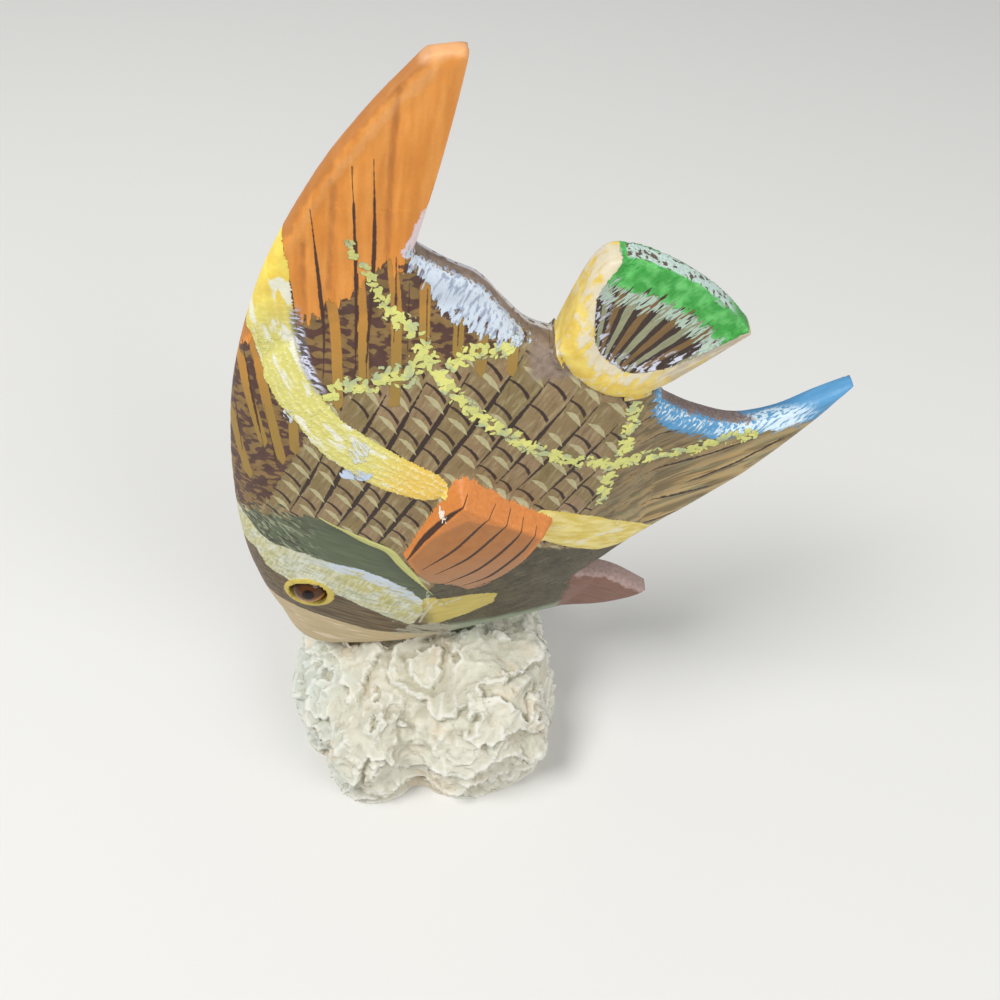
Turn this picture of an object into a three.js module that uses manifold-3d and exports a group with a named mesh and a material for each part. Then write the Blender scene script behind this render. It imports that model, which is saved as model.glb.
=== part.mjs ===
// A carved and painted wooden angelfish, nose down, standing on a lump of coral.
// Millimetres. X runs to the right along the fish, Z is up, -Y is the side the fish shows.
// The origin is the centre of the flat underside of the coral, below the middle plane of the fish.

import * as THREE from 'three';
import { mergeVertices } from 'three/addons/utils/BufferGeometryUtils.js';
import Manifold3d from 'manifold-3d';

const wasm = await Manifold3d();
wasm.setup();

// Room left between pieces that touch.
const GAP = 0.3;

// Spacing of the facets on the fish.
const FACET = 2.0;

// Outline of the body with its dorsal, anal and pelvic fins, as carved edges from corner to corner.
const BROW_AND_DORSAL_FRONT = [
  [-13.0, 15.0], [-15.9, 16.0], [-17.8, 18.9], [-18.7, 24.8], [-19.8, 31.0], [-20.2, 38.0], [-19.7, 46.0],
  [-18.2, 56.0], [-15.7, 65.6], [-10.8, 76.8], [-4.6, 86.2], [0.7, 92.2], [5.4, 96.6],
];
const DORSAL_TIP = [[5.4, 96.6], [7.4, 96.9], [8.9, 96.9]];
const DORSAL_REAR = [[8.9, 96.9], [7.8, 92.8], [5.9, 86.6], [3.4, 79.4]];
const BACK = [[3.4, 79.4], [6.2, 77.5], [9.2, 75.9], [11.4, 73.0], [13.8, 70.2], [17.4, 68.9]];
const TAIL_ROOT_HIDDEN = [[17.4, 68.9], [24.5, 65.5], [28.4, 60.8]];
const ANAL_TOP = [[28.4, 60.8], [32.0, 58.9], [36.5, 57.7], [40.5, 58.8], [44.0, 61.2], [47.7, 63.5]];
const ANAL_BOTTOM = [[47.7, 63.5], [44.2, 57.3], [38.9, 49.7], [31.6, 41.9], [25.2, 35.2], [21.2, 30.8]];
const PELVIC_TOP = [[21.2, 30.8], [23.2, 30.1], [26.6, 28.6], [30.8, 25.2]];
const BELLY = [
  [30.8, 25.2], [28.6, 23.6], [24.0, 22.2], [16.4, 21.5], [8.3, 19.4], [0.0, 16.6], [-6.5, 15.3], [-13.0, 15.0],
];

// Swelling of the body: an oval about the line from snout to tail, thickest at its centre.
const BODY_CENTRE = [-2, 40];
const BODY_AXIS_ANGLE = 56;
const BODY_HALF_LENGTH = 37;
const BODY_HALF_DEPTH = 27.5;
const BODY_HALF_THICKNESS = 7.0;
const FIN_ROOT_HALF_THICKNESS = 1.8;
const FIN_TIP_HALF_THICKNESS = 1.05;
const SWELLING_FULLNESS = 0.9;
const BODY_RIM_SHARE = 0.35;

// The tail is a thick fan that stands proud of the body at its root and thins to its trailing edge.
const TAIL_ROOT = [[16.6, 69.2], [18.2, 66.0], [21.0, 63.7], [24.0, 63.0], [27.0, 63.9], [30.4, 66.2], [35.4, 70.1]];
const TAIL_TRAILING = [[35.4, 70.1], [32.2, 73.7], [27.6, 77.0], [22.8, 79.0]];
const TAIL_UPPER = [[22.8, 79.0], [21.0, 78.9], [19.5, 77.2], [18.0, 73.4], [16.6, 69.2]];
const TAIL_ROOT_POINT = [18, 66];
const TAIL_DIRECTION_ANGLE = 42;
const TAIL_LENGTH = 15;
const TAIL_ROOT_HALF_THICKNESS = 3.7;
const TAIL_EDGE_HALF_THICKNESS = 1.5;
const TAIL_CHAMFER = 0.5;
const TAIL_RIM_SHARE = 0.8;

// Each pectoral fin is a wedge: flush with the flank at its lower edge, proud at its cut free end.
const PECTORAL_FREE_END = [[0.2, 42.4], [3.6, 48.0], [7.2, 53.2]];
const PECTORAL_TRAILING = [[7.2, 53.2], [11.2, 50.0], [15.8, 46.4]];
const PECTORAL_LOWER = [[15.8, 46.4], [13.4, 40.4], [8.8, 34.8], [4.6, 34.0], [1.6, 37.6], [0.2, 42.4]];
const PECTORAL_FACE_POINT = [7.2, 53.2];
const PECTORAL_FACE_HEIGHT = 9.3;
const PECTORAL_FACE_SLOPE = 0.15;
const PECTORAL_FACE_ANGLE = 108;
const PECTORAL_BURIED = 3.0;

// Eyes: small glass beads let into the head.
const EYE_PLACE = [-12.8, 33.0];
const EYE_RADIUS = 2.3;
const EYE_STANDS_OUT = 1.0;
const BEAD_COLUMNS = 20;
const BEAD_RINGS = 12;

// The coral: a craggy lump with a flat cut underside, as the outline of its widest level.
const CORAL_WAIST = [
  [19.0, 0.0], [18.0, 7.0], [14.0, 14.4], [6.0, 18.0], [-4.0, 18.4], [-13.0, 14.6], [-18.6, 8.0], [-20.2, 0.0],
  [-20.8, -5.6], [-19.4, -9.6], [-18.2, -12.8], [-14.2, -15.4], [-12.8, -19.2], [-9.0, -21.8], [-4.2, -21.2],
  [-0.8, -18.8], [2.2, -20.4], [7.4, -21.2], [13.6, -18.8], [17.2, -16.4], [18.4, -12.0], [20.4, -6.0],
];
const CORAL_HEIGHT = 17.2;
const CORAL_TOP_SLOPE = 0.16;
const CORAL_UNDERCUT = 0.05;
const CORAL_SHOULDER_POWER = 0.5;
const CORAL_RISE_POWER = 0.85;
const CORAL_LOWEST_RING = 0.6;
const CORAL_COLUMNS = 60;
const CORAL_RINGS = 20;
const CORAL_LUMP = { size: 8.5, height: 1.2 };
const CORAL_CRAG = { size: 3.6, height: 0.8 };

const radians = THREE.MathUtils.degToRad;
const clamp = THREE.MathUtils.clamp;

// A closed outline of evenly spaced points from edges that join at their ends.
function traceOutline(edges, spacing) {
  const outline = [];
  for (const edge of edges) {
    const curve = new THREE.SplineCurve(edge.map(([x, z]) => new THREE.Vector2(x, z)));
    const steps = Math.max(1, Math.round(curve.getLength() / spacing));
    for (let step = 0; step < steps; step += 1) {
      outline.push(curve.getPointAt(step / steps));
    }
  }
  return THREE.ShapeUtils.isClockWise(outline) ? outline.reverse() : outline;
}

// Unit direction into the shape at each point of a counterclockwise outline.
function inwardDirections(outline) {
  return outline.map((point, index) => {
    const before = outline.at(index - 1);
    const after = outline[(index + 1) % outline.length];
    return new THREE.Vector2(before.y - after.y, after.x - before.x).normalize();
  });
}

function distanceToOutline(x, z, outline) {
  let nearest = Infinity;
  outline.forEach((start, index) => {
    const end = outline[(index + 1) % outline.length];
    const along = clamp(
      ((x - start.x) * (end.x - start.x) + (z - start.y) * (end.y - start.y)) / start.distanceToSquared(end), 0, 1);
    const awayX = x - start.x - along * (end.x - start.x);
    const awayZ = z - start.y - along * (end.y - start.y);
    nearest = Math.min(nearest, Math.hypot(awayX, awayZ));
  });
  return nearest;
}

function isInside(x, z, outline) {
  let inside = false;
  outline.forEach((start, index) => {
    const end = outline[(index + 1) % outline.length];
    const crosses = (start.y > z) !== (end.y > z);
    if (crosses && x < start.x + (end.x - start.x) * (z - start.y) / (end.y - start.y)) {
      inside = !inside;
    }
  });
  return inside;
}

// Points inside an outline: rings that follow the edge, then an even field of staggered rows.
function fillOutline(outline, spacing, insets) {
  const inward = inwardDirections(outline);
  const filling = [];
  outline.forEach((point, index) => {
    for (const inset of insets(point.x, point.y)) {
      const ringPoint = point.clone().addScaledVector(inward[index], inset);
      const clear = distanceToOutline(ringPoint.x, ringPoint.y, outline) > 0.9 * inset;
      const apart = filling.every((other) => other.distanceTo(ringPoint) > 0.4 * Math.min(spacing, inset));
      if (clear && apart && isInside(ringPoint.x, ringPoint.y, outline)) {
        filling.push(ringPoint);
      }
    }
  });
  const bounds = new THREE.Box2().setFromPoints(outline);
  const rowStep = spacing * Math.sin(radians(60));
  const rows = Math.ceil((bounds.max.y - bounds.min.y) / rowStep);
  const columns = Math.ceil((bounds.max.x - bounds.min.x) / spacing);
  const ringCount = filling.length;
  for (let row = 0; row <= rows; row += 1) {
    for (let column = 0; column <= columns; column += 1) {
      const x = bounds.min.x + (column + (row % 2) / 2) * spacing;
      const z = bounds.min.y + row * rowStep;
      const place = new THREE.Vector2(x, z);
      const roomy = filling.slice(0, ringCount).every((other) => other.distanceTo(place) > 0.6 * spacing);
      const deep = distanceToOutline(x, z, outline) > Math.max(...insets(x, z));
      if (roomy && deep && isInside(x, z, outline)) {
        filling.push(place);
      }
    }
  }
  return filling;
}

function circleAround(points, corners) {
  const [a, b, c] = corners.map((corner) => points[corner]);
  const twiceArea = 2 * ((b.x - a.x) * (c.y - a.y) - (b.y - a.y) * (c.x - a.x));
  const lengthB = b.distanceToSquared(a);
  const lengthC = c.distanceToSquared(a);
  const x = a.x + ((c.y - a.y) * lengthB - (b.y - a.y) * lengthC) / twiceArea;
  const y = a.y + ((b.x - a.x) * lengthC - (c.x - a.x) * lengthB) / twiceArea;
  return { corners, x, y, radiusSquared: (a.x - x) ** 2 + (a.y - y) ** 2 };
}

// Delaunay triangles of a set of points, added one at a time inside one very large triangle.
function triangulate(points) {
  const reach = 1000;
  const count = points.length;
  const all = [...points, new THREE.Vector2(-reach, -reach), new THREE.Vector2(reach, -reach),
    new THREE.Vector2(0, 1.5 * reach)];
  let triangles = [circleAround(all, [count, count + 1, count + 2])];
  for (let added = 0; added < count; added += 1) {
    const point = all[added];
    const edges = new Map();
    triangles = triangles.filter((triangle) => {
      const away = (point.x - triangle.x) ** 2 + (point.y - triangle.y) ** 2;
      if (away >= triangle.radiusSquared) {
        return true;
      }
      triangle.corners.forEach((corner, index) => {
        const next = triangle.corners[(index + 1) % 3];
        const twin = `${next} ${corner}`;
        if (edges.has(twin)) {
          edges.delete(twin);
        } else {
          edges.set(`${corner} ${next}`, [corner, next]);
        }
      });
      return false;
    });
    for (const [corner, next] of edges.values()) {
      triangles.push(circleAround(all, [corner, next, added]));
    }
  }
  return triangles.map((triangle) => triangle.corners).filter((corners) => Math.max(...corners) < count);
}

// A closed slab over an outline: two carved faces, at -front(x, z, edge) and +back(x, z, edge), and a rim.
function carvedSlab(outline, spacing, insets, front, back) {
  const flat = [...outline, ...fillOutline(outline, spacing, insets)];
  const faces = triangulate(flat).filter((corners) => {
    const x = (flat[corners[0]].x + flat[corners[1]].x + flat[corners[2]].x) / 3;
    const z = (flat[corners[0]].y + flat[corners[1]].y + flat[corners[2]].y) / 3;
    return isInside(x, z, outline);
  });
  const positions = [];
  const edgeDistance = flat.map((point, index) =>
    (index < outline.length ? 0 : distanceToOutline(point.x, point.y, outline)));
  flat.forEach((point, index) => {
    positions.push(point.x, -front(point.x, point.y, edgeDistance[index]), point.y);
  });
  flat.forEach((point, index) => {
    positions.push(point.x, back(point.x, point.y, edgeDistance[index]), point.y);
  });
  const triangles = [];
  for (const [a, b, c] of faces) {
    triangles.push(a, b, c);
    triangles.push(a + flat.length, c + flat.length, b + flat.length);
  }
  for (let index = 0; index < outline.length; index += 1) {
    const next = (index + 1) % outline.length;
    triangles.push(index, index + flat.length, next);
    triangles.push(next, index + flat.length, next + flat.length);
  }
  const geometry = new THREE.BufferGeometry();
  geometry.setAttribute('position', new THREE.Float32BufferAttribute(positions, 3));
  geometry.setIndex(triangles);
  return geometry;
}

// Share of the full thickness near an edge: a flat rim, then a quarter round over the given width.
function roundedEdge(edge, width, rimShare) {
  const inward = clamp(edge / width, 0, 1);
  return rimShare + (1 - rimShare) * Math.sqrt(1 - (1 - inward) ** 2);
}

function bodyHalfThickness(x, z) {
  const angle = radians(BODY_AXIS_ANGLE);
  const right = x - BODY_CENTRE[0];
  const up = z - BODY_CENTRE[1];
  const along = (right * Math.cos(angle) + up * Math.sin(angle)) / BODY_HALF_LENGTH;
  const across = (up * Math.cos(angle) - right * Math.sin(angle)) / BODY_HALF_DEPTH;
  const spread = Math.hypot(along, across);
  const swelling = Math.max(0, 1 - spread ** 2) ** SWELLING_FULLNESS;
  const fin = THREE.MathUtils.lerp(FIN_ROOT_HALF_THICKNESS, FIN_TIP_HALF_THICKNESS, clamp(spread - 1, 0, 1));
  return fin + (BODY_HALF_THICKNESS - fin) * swelling;
}

// The body with its dorsal, anal and pelvic fins; `grow` makes it larger all over, for its seat.
function bodySlab(grow) {
  const outline = traceOutline([
    BROW_AND_DORSAL_FRONT, DORSAL_TIP, DORSAL_REAR, BACK, TAIL_ROOT_HIDDEN, ANAL_TOP, ANAL_BOTTOM, PELVIC_TOP, BELLY,
  ], FACET);
  const inward = inwardDirections(outline);
  const grown = outline.map((point, index) => point.clone().addScaledVector(inward[index], -grow));
  const insets = (x, z) => [0.3 * bodyHalfThickness(x, z), bodyHalfThickness(x, z)];
  const face = (x, z, edge) => {
    const thickness = bodyHalfThickness(x, z);
    return thickness * roundedEdge(edge, thickness, BODY_RIM_SHARE) + grow;
  };
  return carvedSlab(grown, FACET, insets, face, face);
}

function tailHalfThickness(x, z) {
  const angle = radians(TAIL_DIRECTION_ANGLE);
  const along = (x - TAIL_ROOT_POINT[0]) * Math.cos(angle) + (z - TAIL_ROOT_POINT[1]) * Math.sin(angle);
  const share = clamp(along / TAIL_LENGTH, 0, 1);
  return THREE.MathUtils.lerp(TAIL_ROOT_HALF_THICKNESS, TAIL_EDGE_HALF_THICKNESS, share);
}

function tailSlab() {
  const outline = traceOutline([TAIL_ROOT, TAIL_TRAILING, TAIL_UPPER], FACET);
  const face = (x, z, edge) => tailHalfThickness(x, z) * roundedEdge(edge, TAIL_CHAMFER, TAIL_RIM_SHARE);
  return carvedSlab(outline, FACET, () => [TAIL_CHAMFER], face, face);
}

// Height of a pectoral fin's outer face above the middle plane of the fish.
function pectoralFace(x, z) {
  const angle = radians(PECTORAL_FACE_ANGLE);
  const below = (PECTORAL_FACE_POINT[0] - x) * Math.cos(angle) + (PECTORAL_FACE_POINT[1] - z) * Math.sin(angle);
  return PECTORAL_FACE_HEIGHT - PECTORAL_FACE_SLOPE * below;
}

// `side` is 1 for the fin on the shown flank and -1 for its mirror image on the other flank.
function pectoralFin(side) {
  const outline = traceOutline([PECTORAL_FREE_END, PECTORAL_TRAILING, PECTORAL_LOWER], FACET);
  const outer = (x, z) => pectoralFace(x, z);
  const buried = () => -PECTORAL_BURIED;
  return side > 0
    ? carvedSlab(outline, FACET, () => [1], outer, buried)
    : carvedSlab(outline, FACET, () => [1], buried, outer);
}

function ball(radius, centre) {
  const geometry = new THREE.SphereGeometry(radius, BEAD_COLUMNS, BEAD_RINGS);
  geometry.rotateX(radians(90));
  return geometry.translate(centre.x, centre.y, centre.z);
}

function eyeCentre(side) {
  const depth = bodyHalfThickness(...EYE_PLACE) + EYE_STANDS_OUT - EYE_RADIUS;
  return new THREE.Vector3(EYE_PLACE[0], -side * depth, EYE_PLACE[1]);
}

// Repeatable scattered values from 0 to 1 at whole-number places.
function scatter(i, j, k) {
  const mixed = Math.sin(i * 127.1 + j * 311.7 + k * 74.7) * 43758.5453;
  return mixed - Math.floor(mixed);
}

// Smooth noise from -1 to 1 with bumps of the given size.
function smoothNoise(place, size) {
  const cell = place.clone().divideScalar(size);
  const corner = cell.clone().floor();
  const part = cell.sub(corner);
  const weight = (value) => value * value * (3 - 2 * value);
  let total = 0;
  for (const i of [0, 1]) {
    for (const j of [0, 1]) {
      for (const k of [0, 1]) {
        const share = (i ? weight(part.x) : 1 - weight(part.x)) * (j ? weight(part.y) : 1 - weight(part.y))
          * (k ? weight(part.z) : 1 - weight(part.z));
        total += share * scatter(corner.x + i, corner.y + j, corner.z + k);
      }
    }
  }
  return 2 * total - 1;
}

// Rounded lump in rings from the underside's rim to the crown, pushed in and out by noise.
function coralLump() {
  const positions = [];
  const heart = new THREE.Vector3(0, 0, CORAL_HEIGHT / 3);
  const waist = new THREE.CatmullRomCurve3(CORAL_WAIST.map(([x, y]) => new THREE.Vector3(x, y, 0)), true);
  for (let ring = 0; ring < CORAL_RINGS; ring += 1) {
    const rise = radians(90 * ring / CORAL_RINGS);
    const spread = Math.cos(rise) ** CORAL_SHOULDER_POWER * (1 - CORAL_UNDERCUT * (1 - Math.sin(2 * rise)));
    for (let column = 0; column < CORAL_COLUMNS; column += 1) {
      const place = waist.getPointAt(column / CORAL_COLUMNS).multiplyScalar(spread);
      const height = CORAL_HEIGHT + CORAL_TOP_SLOPE * place.x;
      place.z = height * Math.sin(rise) ** CORAL_RISE_POWER;
      const push = CORAL_LUMP.height * smoothNoise(place, CORAL_LUMP.size)
        + CORAL_CRAG.height * smoothNoise(place, CORAL_CRAG.size);
      const outward = place.clone().sub(heart).normalize();
      place.addScaledVector(outward, ring === 0 ? 0 : push);
      positions.push(place.x, place.y, ring === 0 ? 0 : Math.max(place.z, CORAL_LOWEST_RING));
    }
  }
  const crown = positions.length / 3;
  positions.push(0, 0, CORAL_HEIGHT, 0, 0, 0);
  const triangles = [];
  for (let column = 0; column < CORAL_COLUMNS; column += 1) {
    const next = (column + 1) % CORAL_COLUMNS;
    for (let ring = 0; ring + 1 < CORAL_RINGS; ring += 1) {
      const low = ring * CORAL_COLUMNS;
      const high = low + CORAL_COLUMNS;
      triangles.push(low + column, low + next, high + next);
      triangles.push(low + column, high + next, high + column);
    }
    const last = (CORAL_RINGS - 1) * CORAL_COLUMNS;
    triangles.push(last + column, last + next, crown);
    triangles.push(next, column, crown + 1);
  }
  const geometry = new THREE.BufferGeometry();
  geometry.setAttribute('position', new THREE.Float32BufferAttribute(positions, 3));
  geometry.setIndex(triangles);
  return geometry;
}

function toSolid(geometry) {
  const bare = new THREE.BufferGeometry();
  bare.setAttribute('position', geometry.getAttribute('position'));
  bare.setIndex(geometry.getIndex());
  const joined = mergeVertices(bare, 1e-4);
  return new wasm.Manifold(new wasm.Mesh({
    numProp: 3,
    vertProperties: new Float32Array(joined.getAttribute('position').array),
    triVerts: new Uint32Array(joined.getIndex().array),
  }));
}

function toGeometry(solid) {
  const mesh = solid.getMesh();
  const geometry = new THREE.BufferGeometry();
  geometry.setAttribute('position', new THREE.BufferAttribute(new Float32Array(mesh.vertProperties), 3));
  geometry.setIndex(new THREE.BufferAttribute(new Uint32Array(mesh.triVerts), 1));
  geometry.computeVertexNormals();
  return geometry;
}

function fishGeometry() {
  let fish = toSolid(bodySlab(0)).add(toSolid(tailSlab()));
  for (const side of [1, -1]) {
    fish = fish.add(toSolid(pectoralFin(side)));
    fish = fish.subtract(toSolid(ball(EYE_RADIUS + GAP, eyeCentre(side))));
  }
  return toGeometry(fish);
}

function coralGeometry() {
  return toGeometry(toSolid(coralLump()).subtract(toSolid(bodySlab(GAP))));
}

function piece(name, geometry, colour, roughness) {
  const material = new THREE.MeshStandardMaterial({ color: colour, roughness, metalness: 0 });
  const mesh = new THREE.Mesh(geometry, material);
  mesh.name = name;
  return mesh;
}

function eye(name, side) {
  const mesh = piece(name, ball(EYE_RADIUS, new THREE.Vector3()), 0x4a2408, 0.1);
  mesh.position.copy(eyeCentre(side));
  return mesh;
}

const carving = new THREE.Group();
carving.name = 'wooden_fish_carving';
carving.add(piece('wooden_fish', fishGeometry(), 0x9a7a45, 0.55));
carving.add(eye('left_eye', 1));
carving.add(eye('right_eye', -1));
carving.add(piece('coral_base', coralGeometry(), 0xded8cc, 0.85));

export default carving;
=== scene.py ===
# A carved and painted wooden angelfish, nose down, glued to a lump of pale coral.
# Metres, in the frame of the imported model: X runs right along the fish, Z is up, -Y is the side on show.

import math

import bpy
import numpy as np
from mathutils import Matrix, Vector

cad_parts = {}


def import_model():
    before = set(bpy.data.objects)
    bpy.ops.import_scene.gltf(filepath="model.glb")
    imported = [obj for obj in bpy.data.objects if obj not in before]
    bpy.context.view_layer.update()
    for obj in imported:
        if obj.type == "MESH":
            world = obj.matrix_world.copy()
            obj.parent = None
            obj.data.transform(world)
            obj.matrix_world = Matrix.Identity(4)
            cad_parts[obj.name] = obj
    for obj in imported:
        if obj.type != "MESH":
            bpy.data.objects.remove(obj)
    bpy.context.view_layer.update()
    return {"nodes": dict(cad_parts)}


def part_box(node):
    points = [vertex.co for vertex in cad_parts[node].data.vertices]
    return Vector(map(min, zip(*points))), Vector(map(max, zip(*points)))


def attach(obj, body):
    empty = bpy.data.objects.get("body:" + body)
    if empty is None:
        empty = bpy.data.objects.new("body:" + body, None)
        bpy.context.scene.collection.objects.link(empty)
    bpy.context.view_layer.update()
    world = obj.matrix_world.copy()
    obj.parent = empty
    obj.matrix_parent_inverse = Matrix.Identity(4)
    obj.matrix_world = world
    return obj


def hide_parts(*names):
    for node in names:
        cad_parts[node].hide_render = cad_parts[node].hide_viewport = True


MM = 0.001

# Wood under the paint, as it looks on a screen.
BARE_WOOD = (130, 108, 72)

# The camera: where it stands, how far it looks down, and its lens.
CAMERA_PLACE = (11.0 * MM, -68.0 * MM, 127.4 * MM)
CAMERA_DOWN = math.radians(51)
CAMERA_LENS = 32.4
CAMERA_SENSOR = 36.0

# The studio: floor, even room light, and two softboxes with their place, size and power.
FLOOR_SIZE = 3.0
ROOM_COLOUR = (0.95, 0.97, 1.0, 1.0)
ROOM_STRENGTH = 0.4
LIT_PLACE = (0.008, 0.0, 0.05)
SOFTBOXES = [
    ("window", (-0.28, -0.12, 0.55), 0.28, 2.85),
    ("fill", (0.4, -0.3, 0.3), 0.4, 1.4)]

# Grain of the finished meshes.
FISH_GRAIN = 0.34 * MM
CORAL_GRAIN = 0.27 * MM
JOIN_DISTANCE = 0.01 * MM
EYE_SEGMENTS = 56
EYE_RINGS = 32
HOLLOW_ROUNDS = 14


def line(points):
    """Corner points given in millimetres across and up, as an array in metres."""
    return np.array(points, dtype=float) * MM


def lines(*strokes):
    return [line(stroke) for stroke in strokes]


# The coral's growths. A drift has a shift of the noise for each axis in millimetres, its size and its reach.
WARP = ((3, 17, 31), 3 * MM, 1.1 * MM)
FRAY = ((8, 23, 41), 1 * MM, 0.7 * MM)
FINE_FRAY = ((5, 27, 37), 0.55 * MM, 0.3 * MM)
SHEET_RISE = 1.35 * MM
SHEET_CLIFF = 0.1
FRILL_SHARE = 0.3
FRILL_RISE = 0.7 * MM
FRILL_CLIFF = 0.2
KNOB_HEIGHT = 0.5 * MM
KNOB_SIZE = 4 * MM
FOLD_HEIGHT = 0.3 * MM
FOLD_SIZE = 2.3 * MM
CRUMB_HEIGHT = 0.16 * MM
CRUMB_SIZE = 1.2 * MM
GRIT_HEIGHT = 0.07 * MM
GRIT_SIZE = 0.6 * MM
CORAL_SWELL = 0.1 * MM


# The carved outlines of the solid, edge by edge.
BROW_AND_DORSAL_FRONT = line([
    (-13, 15), (-15.9, 16), (-17.8, 18.9), (-18.7, 24.8), (-19.8, 31), (-20.2, 38), (-19.7, 46),
    (-18.2, 56), (-15.7, 65.6), (-10.8, 76.8), (-4.6, 86.2), (0.7, 92.2), (5.4, 96.6)])
DORSAL_TIP = line([(5.4, 96.6), (7.4, 96.9), (8.9, 96.9)])
DORSAL_REAR = line([(8.9, 96.9), (7.8, 92.8), (5.9, 86.6), (3.4, 79.4)])
BACK = line([(3.4, 79.4), (6.2, 77.5), (9.2, 75.9), (11.4, 73), (13.8, 70.2), (17.4, 68.9)])
TAIL_ROOT_HIDDEN = line([(17.4, 68.9), (24.5, 65.5), (28.4, 60.8)])
ANAL_TOP = line([(28.4, 60.8), (32, 58.9), (36.5, 57.7), (40.5, 58.8), (44, 61.2), (47.7, 63.5)])
ANAL_BOTTOM = line([(47.7, 63.5), (44.2, 57.3), (38.9, 49.7), (31.6, 41.9), (25.2, 35.2), (21.2, 30.8)])
PELVIC_TOP = line([(21.2, 30.8), (23.2, 30.1), (26.6, 28.6), (30.8, 25.2)])
BELLY = line([
    (30.8, 25.2), (28.6, 23.6), (24, 22.2), (16.4, 21.5), (8.3, 19.4), (0, 16.6), (-6.5, 15.3), (-13, 15)])
TAIL_ROOT = line([(16.6, 69.2), (18.2, 66), (21, 63.7), (24, 63), (27, 63.9), (30.4, 66.2), (35.4, 70.1)])
TAIL_TRAILING = line([(35.4, 70.1), (32.2, 73.7), (27.6, 77), (22.8, 79)])
TAIL_UPPER = line([(22.8, 79), (21, 78.9), (19.5, 77.2), (18, 73.4), (16.6, 69.2)])
PECTORAL_FREE_END = line([(0.2, 42.4), (3.6, 48), (7.2, 53.2)])
PECTORAL_TRAILING = line([(7.2, 53.2), (11.2, 50), (15.8, 46.4)])
PECTORAL_LOWER = line([(15.8, 46.4), (13.4, 40.4), (8.8, 34.8), (4.6, 34), (1.6, 37.6), (0.2, 42.4)])

# Thickness of the carved parts.
BODY_CENTRE = line((-2, 40))
BODY_AXIS = math.radians(56)
BODY_HALF_LENGTH = 37 * MM
BODY_HALF_DEPTH = 27.5 * MM
BODY_HALF_THICKNESS = 7.0 * MM
FIN_ROOT_HALF_THICKNESS = 1.8 * MM
FIN_TIP_HALF_THICKNESS = 1.05 * MM
SWELLING_FULLNESS = 0.9
BODY_RIM_SHARE = 0.35
TAIL_ROOT_POINT = line((18, 66))
TAIL_DIRECTION = math.radians(42)
TAIL_LENGTH = 15 * MM
TAIL_ROOT_HALF_THICKNESS = 3.7 * MM
TAIL_EDGE_HALF_THICKNESS = 1.5 * MM
PECTORAL_FACE_POINT = line((7.2, 53.2))
PECTORAL_FACE_HEIGHT = 9.3 * MM
PECTORAL_FACE_SLOPE = 0.15
PECTORAL_FACE_DIRECTION = math.radians(108)
EYE_PLACE = line((-12.8, 33))
EYE_RADIUS = 2.3 * MM

# Carving that only the finished mesh has.
TAIL_BEVEL = 2.4 * MM
TAIL_BEVEL_SHARE = 0.62
TAIL_RECESS = 0.3 * MM
PECTORAL_CUT_SLOPE = 2.0
PECTORAL_CUT_RUN = 1.8 * MM
CARVING_REACH = 0.9 * MM
TAIL_CARVING_REACH = 1.6 * MM
OUTLINE_MARGIN = 0.6 * MM
SOCKET_MARGIN = 0.05 * MM
RAISED_PART_RELIEF_SHARE = 0.25
FLUTE_DEPTH = 0.3 * MM
FLUTE_HALF_WIDTH = 0.45 * MM
FRONT_GROOVE_DEPTH = 0.14 * MM
FRONT_GROOVE_INSET = 1.7 * MM
FRONT_GROOVE_HALF_WIDTH = 0.8 * MM
GILL_STEP = 0.35 * MM
EYE_RIM_HEIGHT = 0.28 * MM
EYE_RIM_RADIUS = 2.5 * MM
EYE_RIM_HALF_WIDTH = 0.5 * MM
ANAL_RAY_HEIGHT = 0.1 * MM
BAR_HEIGHT = 0.12 * MM
KNIFE_MARKS = [(0.07 * MM, 3.1 * MM), (0.03 * MM, 1.1 * MM)]
EYE_SEAT_DEPTH = 0.55 * EYE_RADIUS
EYE_SEAT_SHARE = 0.45
TAIL_FACE_EDGE = line([
    (22.4, 79.6), (21.2, 77.9), (20, 75.8), (19.8, 73), (20.1, 70.4), (21.8, 68.1), (24.7, 66.7),
    (29.5, 67.9), (35.6, 71)])
DORSAL_FLUTES = lines(
    [(3.4, 94), (2.3, 88.5), (1.5, 82.6), (0.9, 78)],
    [(-2.7, 86), (-3.4, 82.4), (-4.3, 77.6), (-4.9, 73.4)],
    [(-6.2, 80.4), (-6.8, 76.4), (-7.2, 72.6)])
GILL = line([(-9.4, 48.1), (-6.9, 46), (-4.1, 43.9), (-2, 42.4), (-0.8, 39.8), (0.7, 36.3), (2.6, 32.4)])

# Painted areas of the flank, as outlines that may run past the edge of the wood.
BODY_BAR = line([
    (-8.1, 83.4), (-12.4, 80), (-13.4, 75.4), (-13.8, 73.2), (-12.7, 70.5), (-12.2, 65.7), (-11.2, 63.1),
    (-9.7, 61.1), (-8.6, 59.2), (-7.1, 57.1), (-5.6, 55.9), (-3.9, 54.5), (-1.6, 52.9), (0.6, 52.1),
    (2.6, 51.3), (4.2, 51.4), (5.3, 52.3), (5.4, 53.7), (4.6, 55.1), (2.9, 56.2), (-0.2, 58.3),
    (-2.4, 59.9), (-4.9, 61.8), (-6.4, 63.9), (-7.8, 66.9), (-8.3, 70.2), (-8.2, 73.6), (-7.8, 78.2)])
BODY_BAR_UPPER_EDGE = line([
    (-8, 81.4), (-8, 78.2), (-8.4, 73.6), (-8.4, 70.2), (-7.8, 66.9), (-6.4, 63.9), (-4.9, 61.8),
    (-2.4, 59.9), (-0.2, 58.3), (2.9, 56.2), (5.9, 53.8)])
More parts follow.
